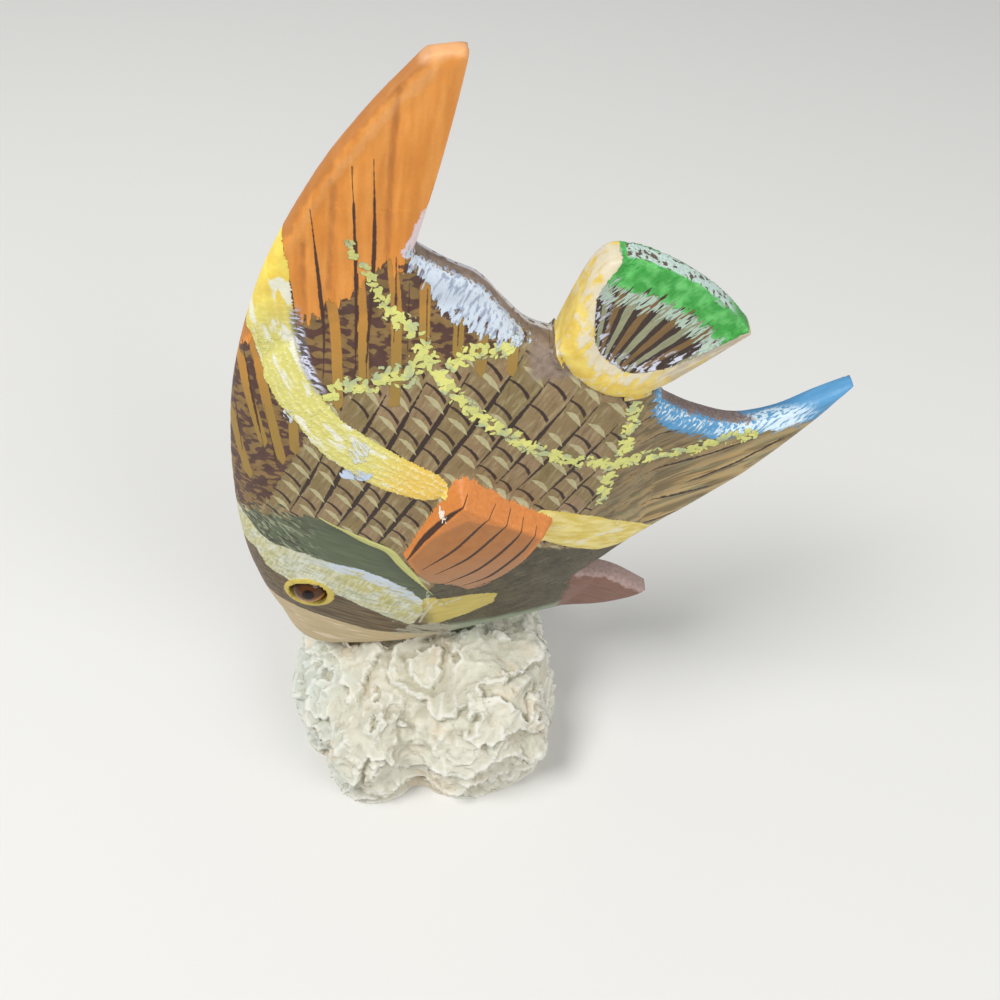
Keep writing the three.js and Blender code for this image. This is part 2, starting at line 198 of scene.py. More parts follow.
REAR_BAR = line([
    (12.5, 49.2), (15.8, 48.3), (17.9, 47.6), (22.1, 45.4), (26.8, 42.2), (29.6, 40.4), (26.4, 37.6),
    (22.9, 37.9), (20.5, 39.4), (16.3, 42.3), (12.5, 43.5)])
HEAD_BAR = line([
    (-24, 49), (-18.6, 46.6), (-17.3, 44.4), (-16, 43), (-12.8, 41.5), (-9.5, 40.2), (-5.4, 38.7),
    (-2.6, 36.3), (-0.5, 34), (1.3, 31), (0.9, 27.6), (-0.8, 24.3), (-4.1, 27.7), (-7.4, 31.1),
    (-9.7, 33.2), (-12.8, 34.6), (-15.1, 35.6), (-17.3, 37.4), (-18.3, 40.4), (-24, 42)])
HEAD_BAR_ARM = line([
    (-1.2, 24.6), (1.4, 31.3), (4.2, 31.6), (7.1, 32.2), (10.6, 31.8), (10.2, 29.3), (6.9, 26.9), (1.7, 24)])
CHEEK = line([
    (-26, 51), (-17.8, 48.2), (-15.4, 49.1), (-12.8, 49.3), (-10.7, 48.6), (-9.1, 47.8), (-6.9, 46),
    (-4.1, 43.9), (-2, 42.4), (-0.8, 39.8), (0.7, 36.3), (2.6, 32.4), (1, 28), (-26, 34)])
FACE = line([
    (-24, 44), (-12.8, 39), (-2.6, 34), (0.8, 29), (1.2, 24), (4, 22.5), (3, 16), (0, 12), (-24, 10)])
CHIN = line([
    (-24, 32.6), (-18.2, 30.6), (-15.1, 28.9), (-11.5, 26.7), (-7, 23.6), (-4, 22.3), (3, 20.6), (3, 12),
    (-24, 10)])
UNDERSIDE = line([
    (1.8, 33.6), (1.2, 31), (0.4, 24), (4, 22.5), (0, 10), (34, 16), (34, 29), (22.4, 31), (28, 36.4),
    (25, 38.6), (22.7, 38.6), (17.7, 40.4), (12.5, 42.5), (6, 40)])
PELVIC = line([(19.6, 28), (20.6, 32), (24, 32.5), (34, 28), (34, 21), (24, 20.6), (18.4, 22.4)])
ANAL = line([
    (26.2, 64.5), (24.9, 62.3), (24.7, 58.5), (24.2, 55), (23.1, 52.2), (22.3, 48.3), (21.2, 46.2),
    (23.6, 43.6), (30, 38.5), (54, 52), (54, 70), (34, 66)])
ANAL_BLUE = line([
    (27, 63), (27.1, 60.4), (27.9, 58.3), (30.3, 57.1), (34.8, 55.8), (37.3, 56.4), (40.9, 57.3),
    (44, 58.5), (47.4, 61), (52, 66), (44, 66), (36, 62)])
BACK_WHITE = line([
    (2.6, 79.6), (3.9, 76.8), (4.8, 74.8), (5.9, 73.3), (7.6, 72.7), (9.1, 71.7), (11, 70.5), (12.4, 69.8),
    (15.4, 71.2), (14.6, 74.4), (11.6, 78.2), (7.6, 80.6), (4.2, 79.6)])
DORSAL_LILAC = line([
    (5, 84.2), (4.3, 83.2), (3.2, 81.2), (2.2, 79.6), (2.8, 79), (3.9, 79.4), (5.6, 83.4)])
BRICK = line([
    (-7, 84), (6, 84), (14.5, 71), (12.4, 69.5), (9.5, 69.3), (8.2, 69.3), (5.6, 68), (3.9, 69.3),
    (1.7, 66.6), (-1.4, 65.9), (-5.9, 64.2), (-8, 62), (-10, 57.6), (-15.2, 49.4), (-19, 47), (-26, 47),
    (-26, 84)])
ORANGE_LIMIT = line([
    (-24, 68.5), (-15, 69.2), (-12, 70), (-9, 70.6), (-8, 71.2), (-6.8, 72.6), (-5.5, 74.3), (-3.7, 74.7),
    (-1.7, 76.4), (0.6, 78.6), (2, 77.6), (3.6, 80), (8, 82)])
DAB_CHAINS = lines(
    [(-2, 80.8), (-1.8, 78.9), (-0.8, 77.8), (0.4, 74.8), (1.2, 73), (2.8, 71.9), (4.9, 67.7), (7.5, 64),
     (9.7, 61.8), (12, 60), (14.1, 58.2), (17.4, 56.2), (20.1, 55), (22.9, 54), (26.3, 53.9), (30.8, 53.9),
     (34.8, 55.7), (37.9, 56.5)],
    [(-5.9, 64.6), (-4.3, 65.9), (-1.4, 66.1), (0.6, 67.9), (1.7, 66.7), (3.7, 69.6)],
    [(5.8, 67.8), (8.4, 69.7), (9.5, 69.9), (12.4, 69.9)],
    [(25, 62.3), (24.7, 58.5), (24.2, 55), (23.1, 52.2), (22.3, 48.3)])
SCRATCHES = lines(
    [(-1.6, 25), (2.2, 29), (6, 31.4)],
    [(-3, 25.6), (0.6, 27.8), (3, 30.6)],
    [(0.4, 25), (1.8, 29.4), (2, 33)])

# White splashes on the body bar: middle across and up, half width and height, all in millimetres, and colour.
WHITE_SPLASHES = [
    (-4.3, 54.9, 1.8, 0.8, (192, 206, 224)),
    (-3.6, 58.2, 1.1, 1.6, (214, 216, 204)),
    (-10.5, 61.8, 0.6, 0.9, (206, 210, 206))]

# Fans of drawn strokes, each stroke from its upper end down, listed from left to right.
SCALE_LINES = lines(
    [(-10.1, 58.4), (-11.7, 55.7), (-14.9, 49.9)],
    [(-7, 58.3), (-9.3, 54), (-12.4, 48.8)],
    [(-0.2, 65.1), (-3, 60.3), (-5.5, 55.7), (-10.1, 47.2)],
    [(3.8, 66.6), (-0.5, 58.7), (-3.2, 53.4), (-8.1, 45.6)],
    [(8.1, 67.6), (3.9, 60.6), (-0.9, 52.6), (-6.2, 43.9)],
    [(13.3, 69), (8.6, 61.7), (4.4, 55.5), (-4.5, 41.8)],
    [(15.9, 66.4), (12.2, 61.2), (8.3, 55.6)],
    [(18.4, 64.1), (13.1, 56.8), (10.6, 53.3)],
    [(20.9, 62.4), (16.1, 56.1), (12.7, 52.1)],
    [(23.3, 59.6), (19.4, 54.9), (15.4, 50.2)],
    [(22.3, 54.2), (19.8, 51.4), (17.3, 47.9)])
FIN_LINES = lines(
    [(-16, 63.4), (-16.4, 56.3)],
    [(-13.9, 69.6), (-13.9, 64.2), (-13.7, 57.4)],
    [(-12.9, 62.9), (-12.7, 55.8)],
    [(-7.9, 80.4), (-8, 76.4), (-8.1, 72.2)],
    [(-5, 84), (-5.2, 79), (-5.5, 74), (-5.8, 70), (-6.4, 66)],
    [(-0.9, 87.9), (-1.7, 79.1), (-2.8, 68.9), (-3.4, 64.6)],
    [(0.9, 88.6), (0, 80), (-1.8, 69), (-2, 66)],
    [(1.9, 79.4), (1.5, 75), (1, 70.6)],
    [(2.8, 76.6), (2.2, 69.8)],
    [(4.4, 76), (4, 70.6)])
RAYS = lines(
    [(-17, 61.6), (-16.7, 58), (-16.2, 52.6)],
    [(-14.6, 68.4), (-14.3, 64), (-13.6, 57.6)],
    [(-12.7, 72.4), (-12.6, 66), (-12, 55.6)],
    [(-10, 61.6), (-10.5, 57)],
    [(-4.6, 76.6), (-4.6, 70), (-5.2, 63)],
    [(-1.6, 78.6), (-1.9, 72.2), (-2.3, 65.6)],
    [(1.5, 80), (1.4, 73.6), (0.9, 67), (0.3, 62.6)],
    [(4.3, 77), (3.8, 70.2)],
    [(7.3, 73.6), (6.9, 68.8)],
    [(9.5, 72.4), (9.1, 67)])
PECTORAL_LINES = lines(
    [(7.6, 53.9), (5.3, 50.9), (2.6, 46.8), (-0.3, 41.2)],
    [(10.6, 51.6), (9.4, 50.4), (5.7, 44.2), (1.8, 39.7)],
    [(12.2, 50.4), (11.2, 48.6), (7.3, 42.2), (3.2, 38.3)],
    [(13.6, 49), (12.4, 45.7), (8.6, 39.5), (4.2, 35.7)],
    [(15.1, 47.6), (13.3, 43), (9.8, 37.5), (6.5, 35.1)],
    [(16.6, 45.6), (15.2, 41.6), (12, 37.6), (8, 34.8)])
ANAL_LINES = lines(
    [(32.8, 58.7), (26, 56.2)],
    [(39.4, 58.2), (34, 55.4), (27.5, 53.1)],
    [(38.8, 56.2), (33, 53.2), (26.7, 50.9)],
    [(43, 57.4), (37, 52), (31.4, 48.4)],
    [(36.4, 48.9), (32, 47), (26.4, 45.3)],
    [(37.1, 46.3), (30, 42.2), (26.4, 40.6)])
TAIL_LINES = lines(
    [(20.6, 80.2), (20.2, 75), (20, 70.6)],
    [(22.2, 79.4), (21.3, 75.2), (20.5, 70.3)],
    [(23.9, 78.4), (22.4, 74.6), (21, 69.8)],
    [(25.6, 77.5), (23.7, 73.8), (21.6, 69.3)],
    [(27.3, 76.4), (25, 73), (22.3, 68.8)],
    [(29, 75.2), (26.2, 72), (23, 68.2)],
    [(30.6, 74), (27.4, 71.1), (23.7, 67.8)],
    [(32.2, 72.8), (28.4, 70), (24.5, 67.3)],
    [(33.8, 71.6), (29.4, 69), (25.4, 66.9)])

# The scales between the scale lines: their slant, their length in millimetres, and each band's shift.
SCALE_SLANT = math.radians(57)
SCALE_LENGTH = 3
SCALE_SHIFTS = [0.1, 0.43, 0.15, 0.77, 0.2, 0.54, 0.7, 0.18, 0.45, 0.55, 0.01, 0.5]

# What the mesh records for the paint, by the name that the paint reads.
AREAS = {
    "body_bar": BODY_BAR, "rear_bar": REAR_BAR, "head_bar": HEAD_BAR, "head_bar_arm": HEAD_BAR_ARM,
    "cheek": CHEEK, "face": FACE, "chin": CHIN, "underside": UNDERSIDE, "pelvic": PELVIC, "anal": ANAL,
    "anal_blue": ANAL_BLUE, "back_white": BACK_WHITE, "dorsal_lilac": DORSAL_LILAC, "brick": BRICK}
LIMITS = {"orange": ORANGE_LIMIT, "tail_face": TAIL_FACE_EDGE}
EDGES = {
    "back_edge": BACK, "anal_edge": ANAL_TOP, "dorsal_edge": BROW_AND_DORSAL_FRONT, "tip_edge": DORSAL_TIP,
    "pelvic_edge": PELVIC_TOP, "tail_end": TAIL_TRAILING}
FANS = {
    "scale": SCALE_LINES, "fin_line": FIN_LINES, "ray": RAYS, "pectoral": PECTORAL_LINES,
    "anal_line": ANAL_LINES, "tail_line": TAIL_LINES}


# Plane geometry on arrays of places seen square on to the flank.

def curve_through(points, steps=6):
    """A smooth line through corner points."""
    traced = []
    last = len(points) - 1
    for index in range(last):
        before = points[max(index - 1, 0)]
        start = points[index]
        end = points[index + 1]
        after = points[min(index + 2, last)]
        leave = (end - before) / 2
        arrive = (after - start) / 2
        for step in range(steps):
            share = step / steps
            traced.append(
                (2 * start - 2 * end + leave + arrive) * share ** 3
                + (3 * end - 3 * start - 2 * leave - arrive) * share ** 2 + leave * share + start)
    traced.append(points[last])
    return np.array(traced)


def outline_of(*edges):
    """A closed outline from edges that join at their ends; its first point isn't repeated."""
    return np.concatenate([curve_through(edge)[:-1] for edge in edges])


def follow(places, path, endless):
    """Distance of each place from a path, positive on its left, and how far along the path it lies."""
    nearest = np.full(len(places), np.inf)
    side = np.ones(len(places))
    along = np.zeros(len(places))
    travelled = 0.0
    last = len(path) - 2
    for index in range(last + 1):
        step = path[index + 1] - path[index]
        length = math.hypot(*step)
        away = places - path[index]
        share = (away @ step) / length ** 2
        lowest = -np.inf if endless and index == 0 else 0
        highest = np.inf if endless and index == last else 1
        share = np.clip(share, lowest, highest)
        gap = np.hypot(away[:, 0] - share * step[0], away[:, 1] - share * step[1])
        closer = gap < nearest
        nearest[closer] = gap[closer]
        left = step[0] * away[:, 1] - step[1] * away[:, 0] > 0
        side[closer] = np.where(left, 1.0, -1.0)[closer]
        along[closer] = (travelled + share * length)[closer]
        travelled += length
    return nearest * side, along


def distance_to(places, path):
    return np.abs(follow(places, path, False)[0])


def inset(places, outline):
    """Distance from a closed outline, positive inside it."""
    closed = np.vstack([outline, outline[:1]])
    inside = np.zeros(len(places), dtype=bool)
    for start, end in zip(closed[:-1], closed[1:]):
        if start[1] == end[1]:
            continue
        level = (start[1] > places[:, 1]) != (end[1] > places[:, 1])
        crossing = start[0] + (end[0] - start[0]) * (places[:, 1] - start[1]) / (end[1] - start[1])
        inside ^= level & (places[:, 0] < crossing)
    return distance_to(places, closed) * np.where(inside, 1, -1)


def drawn_fan(places, strokes):
    """Fields for a fan of strokes listed from left to right, each drawn from its upper end down.

    The first field is a whole number on each stroke and changes evenly from one to the next, the second is
    the local room between strokes, and the third is how far inside the ends of the nearest stroke a place is.
    """
    offsets = []
    reaches = []
    for stroke in strokes:
        path = curve_through(stroke)
        offset, along = follow(places, path, True)
        length = np.hypot(*np.diff(path, axis=0).T).sum()
        offsets.append(offset)
        reaches.append(np.minimum(along, length - along))
    offsets = np.array(offsets)
    reaches = np.array(reaches)
    passed = (offsets >= 0).sum(axis=0) - 1
    left = np.clip(passed, 0, len(strokes) - 1)
    right = np.clip(passed + 1, 0, len(strokes) - 1)
    everyone = np.arange(len(places))
    to_left = offsets[left, everyone]
    to_right = offsets[right, everyone]
    between = (passed >= 0) & (passed < len(strokes) - 1)
    room = np.where(between, np.maximum(to_left - to_right, 0.2 * MM), 3 * MM)
    count = np.where(passed < 0, to_left / (3 * MM), left + to_left / room)
    nearest = np.clip(np.round(count), 0, len(strokes) - 1).astype(int)
    return count, room, reaches[nearest, everyone]


def smooth_step(values, low, high):
    share = np.clip((values - low) / (high - low), 0, 1)
    return share * share * (3 - 2 * share)


def scattered(cells):
    """Repeatable scattered values from 0 to 1, one for each row of whole numbers."""
    mixed = np.sin(cells @ np.array([127.1, 311.7, 74.7])) * 43758.5453
    return mixed - np.floor(mixed)


def lumps(places, size):
    """Smooth noise from -1 to 1 with bumps of the given size."""
    cells = places / size
    corner = np.floor(cells)
    part = cells - corner
    weight = part * part * (3 - 2 * part)
    total = np.zeros(len(places))
    for i in (0, 1):
        for j in (0, 1):
            for k in (0, 1):
                step = np.array([i, j, k])
                share = np.prod(np.where(step == 1, weight, 1 - weight), axis=1)
                total += share * scattered(corner + step)
    return 2 * total - 1


# The carved form of the fish.

BODY_OUTLINE = outline_of(
    BROW_AND_DORSAL_FRONT, DORSAL_TIP, DORSAL_REAR, BACK, TAIL_ROOT_HIDDEN, ANAL_TOP, ANAL_BOTTOM, PELVIC_TOP,
    BELLY)
TAIL_OUTLINE = outline_of(TAIL_ROOT, TAIL_TRAILING, TAIL_UPPER)
PECTORAL_OUTLINE = outline_of(PECTORAL_FREE_END, PECTORAL_TRAILING, PECTORAL_LOWER)


def rounded_edge(edge, width, rim_share):
    inward = np.clip(edge / width, 0, 1)
    return rim_share + (1 - rim_share) * np.sqrt(1 - (1 - inward) ** 2)


def body_half_thickness(places):
    away = places - BODY_CENTRE
    along = (away[:, 0] * math.cos(BODY_AXIS) + away[:, 1] * math.sin(BODY_AXIS)) / BODY_HALF_LENGTH
    across = (away[:, 1] * math.cos(BODY_AXIS) - away[:, 0] * math.sin(BODY_AXIS)) / BODY_HALF_DEPTH
    spread = np.hypot(along, across)
    swelling = np.maximum(0, 1 - spread ** 2) ** SWELLING_FULLNESS
    taper = FIN_TIP_HALF_THICKNESS - FIN_ROOT_HALF_THICKNESS
    fin = FIN_ROOT_HALF_THICKNESS + taper * np.clip(spread - 1, 0, 1)
    return fin + (BODY_HALF_THICKNESS - fin) * swelling


def tail_half_thickness(places):
    away = places - TAIL_ROOT_POINT
    along = away[:, 0] * math.cos(TAIL_DIRECTION) + away[:, 1] * math.sin(TAIL_DIRECTION)
    share = np.clip(along / TAIL_LENGTH, 0, 1)
    return TAIL_ROOT_HALF_THICKNESS + (TAIL_EDGE_HALF_THICKNESS - TAIL_ROOT_HALF_THICKNESS) * share


def pectoral_face(places):
    below = PECTORAL_FACE_POINT - places
    drop = below[:, 0] * math.cos(PECTORAL_FACE_DIRECTION) + below[:, 1] * math.sin(PECTORAL_FACE_DIRECTION)
    return PECTORAL_FACE_HEIGHT - PECTORAL_FACE_SLOPE * drop


def body_surface(places, edge):
    thickness = body_half_thickness(places)
    return thickness * rounded_edge(edge, thickness, BODY_RIM_SHARE)


def tail_surface(places):
    """The tail's face: a broad bevel round its root and sides, and a slightly sunk middle."""
    sides = np.vstack([curve_through(TAIL_UPPER)[:-1], curve_through(TAIL_ROOT)])
    bevel = rounded_edge(distance_to(places, sides), TAIL_BEVEL, TAIL_BEVEL_SHARE)
    sunk = smooth_step(follow(places, curve_through(TAIL_FACE_EDGE), True)[0], 0, 0.6 * MM)
    return tail_half_thickness(places) * bevel - TAIL_RECESS * sunk


def pectoral_surface(places, edge):
    return pectoral_face(places) - PECTORAL_CUT_SLOPE * np.maximum(0, -edge)


def ridge(away, half_width):
    """A rounded ridge, 1 along its crest."""
    return np.exp(-(away / half_width) ** 2)


def carving_relief(places, body_edge):
    """Low carving on the flanks: fin flutes, the step at the gill, the eye's rim and knife marks."""
    relief = np.zeros(len(places))
    for flute in DORSAL_FLUTES:
        relief -= FLUTE_DEPTH * ridge(distance_to(places, curve_through(flute)), FLUTE_HALF_WIDTH)
    front = distance_to(places, curve_through(BROW_AND_DORSAL_FRONT[9:]))
    relief -= FRONT_GROOVE_DEPTH * ridge(front - FRONT_GROOVE_INSET, FRONT_GROOVE_HALF_WIDTH)
    gill, along = follow(places, curve_through(GILL), False)
    cheek = smooth_step(-gill, -0.15 * MM, 0.25 * MM) * smooth_step(gill, -5 * MM, -0.3 * MM)
    relief -= GILL_STEP * cheek * smooth_step(along, 0, 4 * MM)
    from_eye = np.hypot(*(places - EYE_PLACE).T)
    relief += EYE_RIM_HEIGHT * ridge(from_eye - EYE_RIM_RADIUS, EYE_RIM_HALF_WIDTH)
    count = drawn_fan(places, ANAL_LINES)[0]
    relief += ANAL_RAY_HEIGHT * smooth_step(inset(places, ANAL), 0, 2 * MM) * np.cos(2 * math.pi * count)
    bar = np.maximum(inset(places, BODY_BAR), inset(places, REAR_BAR))
    relief += BAR_HEIGHT * smooth_step(bar, -0.1 * MM, 0.5 * MM)
    flat = np.column_stack([places, np.zeros(len(places))])
    for height, size in KNIFE_MARKS:
        relief += height * lumps(flat, size)
    return relief * smooth_step(body_edge, 0, 0.8 * MM)


# Mesh handling.

def only(piece):
    """Makes one object the selected and active one."""
    bpy.ops.object.select_all(action="DESELECT")
    piece.select_set(True)
    bpy.context.view_layer.objects.active = piece


def copy_of_node(node, name):
    """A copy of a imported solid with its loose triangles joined."""
    only(node)
    piece = node.copy()
    piece.data = node.data.copy()
    piece.name = name
    piece.data.name = name
    piece.parent = None
    piece.matrix_world = node.matrix_world
    bpy.context.scene.collection.objects.link(piece)
    piece.data.materials.clear()
    only(piece)
    bpy.ops.object.transform_apply(location=True, rotation=True, scale=True)
    bpy.ops.object.mode_set(mode="EDIT")
    bpy.ops.mesh.select_all(action="SELECT")
    bpy.ops.mesh.remove_doubles(threshold=JOIN_DISTANCE)
    bpy.ops.object.mode_set(mode="OBJECT")
    return piece


def apply_modifier(piece, name, kind, **settings):
    only(piece)
    modifier = piece.modifiers.new(name, kind)
    for setting, value in settings.items():
        setattr(modifier, setting, value)
    bpy.ops.object.modifier_apply(modifier=modifier.name)


def even_skin(piece, grain, smoothing):
    """Gives a solid an even skin of small faces and rounds its corners a little."""
    apply_modifier(piece, "even skin", "REMESH", mode="VOXEL", voxel_size=grain, adaptivity=0)
    apply_modifier(piece, "rounding", "SMOOTH", factor=0.5, iterations=smoothing)
    only(piece)
    bpy.ops.object.shade_smooth()


def read_places(mesh):
    places = np.empty(3 * len(mesh.vertices), dtype=np.float64)
    mesh.vertices.foreach_get("co", places)
    return places.reshape(-1, 3)


def write_places(mesh, places):
    mesh.vertices.foreach_set("co", places.ravel())
    mesh.update()


def read_normals(mesh):
    normals = np.empty(3 * len(mesh.vertices), dtype=np.float64)
    mesh.vertices.foreach_get("normal", normals)
    return normals.reshape(-1, 3)


def neighbour_means(mesh, places):
    """The mean place of the points that each point shares an edge with."""
    edges = np.empty(2 * len(mesh.edges), dtype=np.int64)
    mesh.edges.foreach_get("vertices", edges)
    first, second = edges.reshape(-1, 2).T
    count = np.bincount(first, minlength=len(places)) + np.bincount(second, minlength=len(places))
    totals = [
        np.bincount(first, row[second], len(places)) + np.bincount(second, row[first], len(places))
        for row in places.T]
    return np.array(totals).T / np.maximum(count, 1)[:, None]


def record_field(mesh, name, values):
    """Keeps one value for each point of the mesh, for the paint to read."""
    field = mesh.attributes.new(name, "FLOAT", "POINT")
    field.data.foreach_set("value", values.astype(np.float32))


def record_length(mesh, name, lengths):
    record_field(mesh, name, lengths / MM)


def assign_finishes(piece, finishes, index_of_face):
    for finish in finishes:
        piece.data.materials.append(finish)
    piece.data.polygons.foreach_set("material_index", index_of_face)


# The fish.

def pectoral_cut_end(side):
    """A block that slopes from the raised edge of a pectoral fin down into the flank."""
    crease = PECTORAL_OUTLINE
    ahead = np.roll(crease, -1, axis=0) - np.roll(crease, 1, axis=0)
    outward = np.column_stack([ahead[:, 1], -ahead[:, 0]]) / np.hypot(*ahead.T)[:, None]
    if inset(crease[:1] + outward[:1] * 0.1 * MM, crease)[0] > 0:
        outward = -outward
    foot = crease + outward * PECTORAL_CUT_RUN
    height = pectoral_face(crease)
    foot_height = height - PECTORAL_CUT_SLOPE * PECTORAL_CUT_RUN
    count = len(crease)
    corners = [(x, -side * h, z) for (x, z), h in zip(crease, height)]
    corners += [(x, -side * h, z) for (x, z), h in zip(foot, foot_height)]
    faces = [tuple(range(count)), tuple(reversed(range(count, 2 * count)))]
    for index in range(count):
        after = (index + 1) % count
        faces.append((index, index + count, after + count, after))
    mesh = bpy.data.meshes.new("pectoral cut end")
    mesh.from_pydata(corners, [], faces)
    block = bpy.data.objects.new("pectoral cut end", mesh)
    bpy.context.scene.collection.objects.link(block)
    only(block)
    bpy.ops.object.mode_set(mode="EDIT")
    bpy.ops.mesh.select_all(action="SELECT")
    bpy.ops.mesh.quads_convert_to_tris()
    bpy.ops.mesh.normals_make_consistent(inside=False)
    bpy.ops.object.mode_set(mode="OBJECT")
    return block


def carve_fish(piece):
    """Moves the skin onto the carved form, so faces are smooth curves with low relief."""
    mesh = piece.data
    places = read_places(mesh)
    normals = read_normals(mesh)
    flat = places[:, [0, 2]]
    depth = np.abs(places[:, 1])
    side = np.where(places[:, 1] > 0, 1.0, -1.0)
    body_edge = inset(flat, BODY_OUTLINE)
    tail_edge = inset(flat, TAIL_OUTLINE)
    pectoral_edge = inset(flat, PECTORAL_OUTLINE)
    surfaces = np.array([
        np.where(body_edge > -OUTLINE_MARGIN, body_surface(flat, np.maximum(body_edge, 0)), -1),
        np.where(tail_edge > -OUTLINE_MARGIN, tail_surface(flat), -1),
        np.where(pectoral_edge > -2 * PECTORAL_CUT_RUN, pectoral_surface(flat, pectoral_edge), -1)])
    ceiling = surfaces.max(axis=0)
    highest = surfaces.argmax(axis=0)
    relief = carving_relief(flat, body_edge)
    relief = np.where(highest > 0, RAISED_PART_RELIEF_SHARE * relief, relief)
    miss = np.abs(ceiling - depth)
    allowed = np.where(highest == 1, TAIL_CARVING_REACH, CARVING_REACH)
    facing = smooth_step(np.abs(normals[:, 1]), 0.2, 0.5)
    share = facing * (1 - smooth_step(miss, 0.7 * allowed, allowed))
    in_socket = np.hypot(*(flat - EYE_PLACE).T) < EYE_RADIUS + SOCKET_MARGIN
    share[in_socket] = 0
    moved = depth + share * (ceiling + relief - depth)
    moved = np.where(in_socket, moved, np.minimum(moved, ceiling + np.maximum(relief, 0) + 0.02 * MM))
    places[:, 1] = side * moved
    write_places(mesh, places)


def nearest_of(places, paths):
    """Distance from the nearest of several paths."""
    return np.min([distance_to(places, path) for path in paths], axis=0)


def widest_inset(places, areas):
    """Distance inside the area that a place lies deepest in."""
    return np.max([inset(places, area) for area in areas], axis=0)


def record_flank_fields(mesh):
    """Keeps on the mesh where each painted area, stroke and edge lies."""
    places = read_places(mesh)
    flat = places[:, [0, 2]]
    for name, area in AREAS.items():
        record_length(mesh, name, inset(flat, area))
    for name, limit in LIMITS.items():
        record_length(mesh, name, follow(flat, curve_through(limit), True)[0])
    for name, edge in EDGES.items():
        record_length(mesh, name, distance_to(flat, curve_through(edge)))
    for name, strokes in FANS.items():
        count, room, reach = drawn_fan(flat, strokes)
        record_field(mesh, name + "_count", count)
        record_length(mesh, name + "_room", room)
        record_length(mesh, name + "_reach", reach)
    away, along = follow(flat, curve_through(BODY_BAR_UPPER_EDGE), True)
    record_length(mesh, "bar_across", away)
    record_length(mesh, "bar_along", along)
    away, along = follow(flat, curve_through(GILL), True)
    length = np.hypot(*np.diff(GILL, axis=0).T).sum()
    record_length(mesh, "gill", away)
    record_length(mesh, "gill_reach", np.minimum(along, length - along))
    chains = nearest_of(flat, [curve_through(chain) for chain in DAB_CHAINS])
    thin = smooth_step(flat[:, 1], 73 * MM, 80 * MM)
    record_length(mesh, "dabs", chains * (1 + 0.5 * thin) + 0.2 * MM * thin)
    record_length(mesh, "scratches", nearest_of(flat, SCRATCHES))
    record_length(mesh, "flutes", nearest_of(flat, [curve_through(flute) for flute in DORSAL_FLUTES]))
    fin_edge = inset(flat, PECTORAL_OUTLINE)
    proud = np.abs(places[:, 1]) - body_surface(flat, np.maximum(inset(flat, BODY_OUTLINE), 0))
    record_length(mesh, "fin_edge", fin_edge)
    record_length(mesh, "fin_height", np.where(fin_edge > -2 * PECTORAL_CUT_RUN, proud, -1 * MM))
    record_length(mesh, "tail_outline", inset(flat, TAIL_OUTLINE))


def sort_fish_faces(mesh):
    """Which finish each face takes: 0 upper flank, 1 head, 2 rear flank, 3 tail, 4 pectoral fins."""
    centres = np.empty(3 * len(mesh.polygons))
    mesh.polygons.foreach_get("center", centres)
    centres = centres.reshape(-1, 3)
    flat = centres[:, [0, 2]]
    body_edge = inset(flat, BODY_OUTLINE)
    body = np.where(body_edge > 0, body_surface(flat, np.maximum(body_edge, 0)), 0)
    proud = np.abs(centres[:, 1]) - body
    tail = (inset(flat, TAIL_OUTLINE) > -0.5 * MM) & ((proud > 0.15 * MM) | (body_edge < 0.2 * MM))
    fin = (inset(flat, PECTORAL_OUTLINE) > -2 * PECTORAL_CUT_RUN) & (proud > 0.3 * MM)
    fin &= ~tail & (np.hypot(*(flat - EYE_PLACE).T) > 6 * MM) & (inset(flat, BODY_BAR) < -0.4 * MM)
    head = widest_inset(flat, (CHEEK, FACE, CHIN, HEAD_BAR, HEAD_BAR_ARM)) > -3.5 * MM
    rear = widest_inset(flat, (ANAL, UNDERSIDE, REAR_BAR, PELVIC)) > -3 * MM
    rear &= (flat[:, 0] > 23 * MM) | (flat[:, 1] < 63 * MM)
    return np.select([tail, fin, head, rear], [3, 4, 1, 2], 0).astype(np.int32)


def make_fish(node, finishes):
    piece = copy_of_node(node, "painted_wooden_fish")
    blocks = [pectoral_cut_end(side) for side in (1, -1)]
    only(piece)
    for block in blocks:
        block.select_set(True)
    bpy.ops.object.join()
    even_skin(piece, FISH_GRAIN, 2)
    carve_fish(piece)
    record_flank_fields(piece.data)
    assign_finishes(piece, finishes, sort_fish_faces(piece.data))
    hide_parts("wooden_fish")
    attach(piece, "root")
    return piece


# Paint: node trees built from fields. Lengths in them are in millimetres, and colours are as they look on a
# screen, from 0 to 255.

class Field:
    """A value, colour or vector that changes over the surface. Sums and products of fields add nodes."""

    def __init__(self, paint, socket):
        self.paint = paint
        self.socket = socket

    def __add__(self, other):
        return self.paint.math("ADD", self, other)

    def __radd__(self, other):
        return self.paint.math("ADD", other, self)

    def __sub__(self, other):
        return self.paint.math("SUBTRACT", self, other)

    def __rsub__(self, other):
        return self.paint.math("SUBTRACT", other, self)

    def __mul__(self, other):
        return self.paint.math("MULTIPLY", self, other)

    def __rmul__(self, other):
        return self.paint.math("MULTIPLY", other, self)

    def __truediv__(self, other):
        return self.paint.math("DIVIDE", self, other)


def linear_colour(levels):
    """A colour as it looks on a screen, as the linear colour that a shader takes."""
    colour = []
    for level in levels:
        share = level / 255
        colour.append(share / 12.92 if share <= 0.04045 else ((share + 0.055) / 1.055) ** 2.4)
    return colour + [1.0]


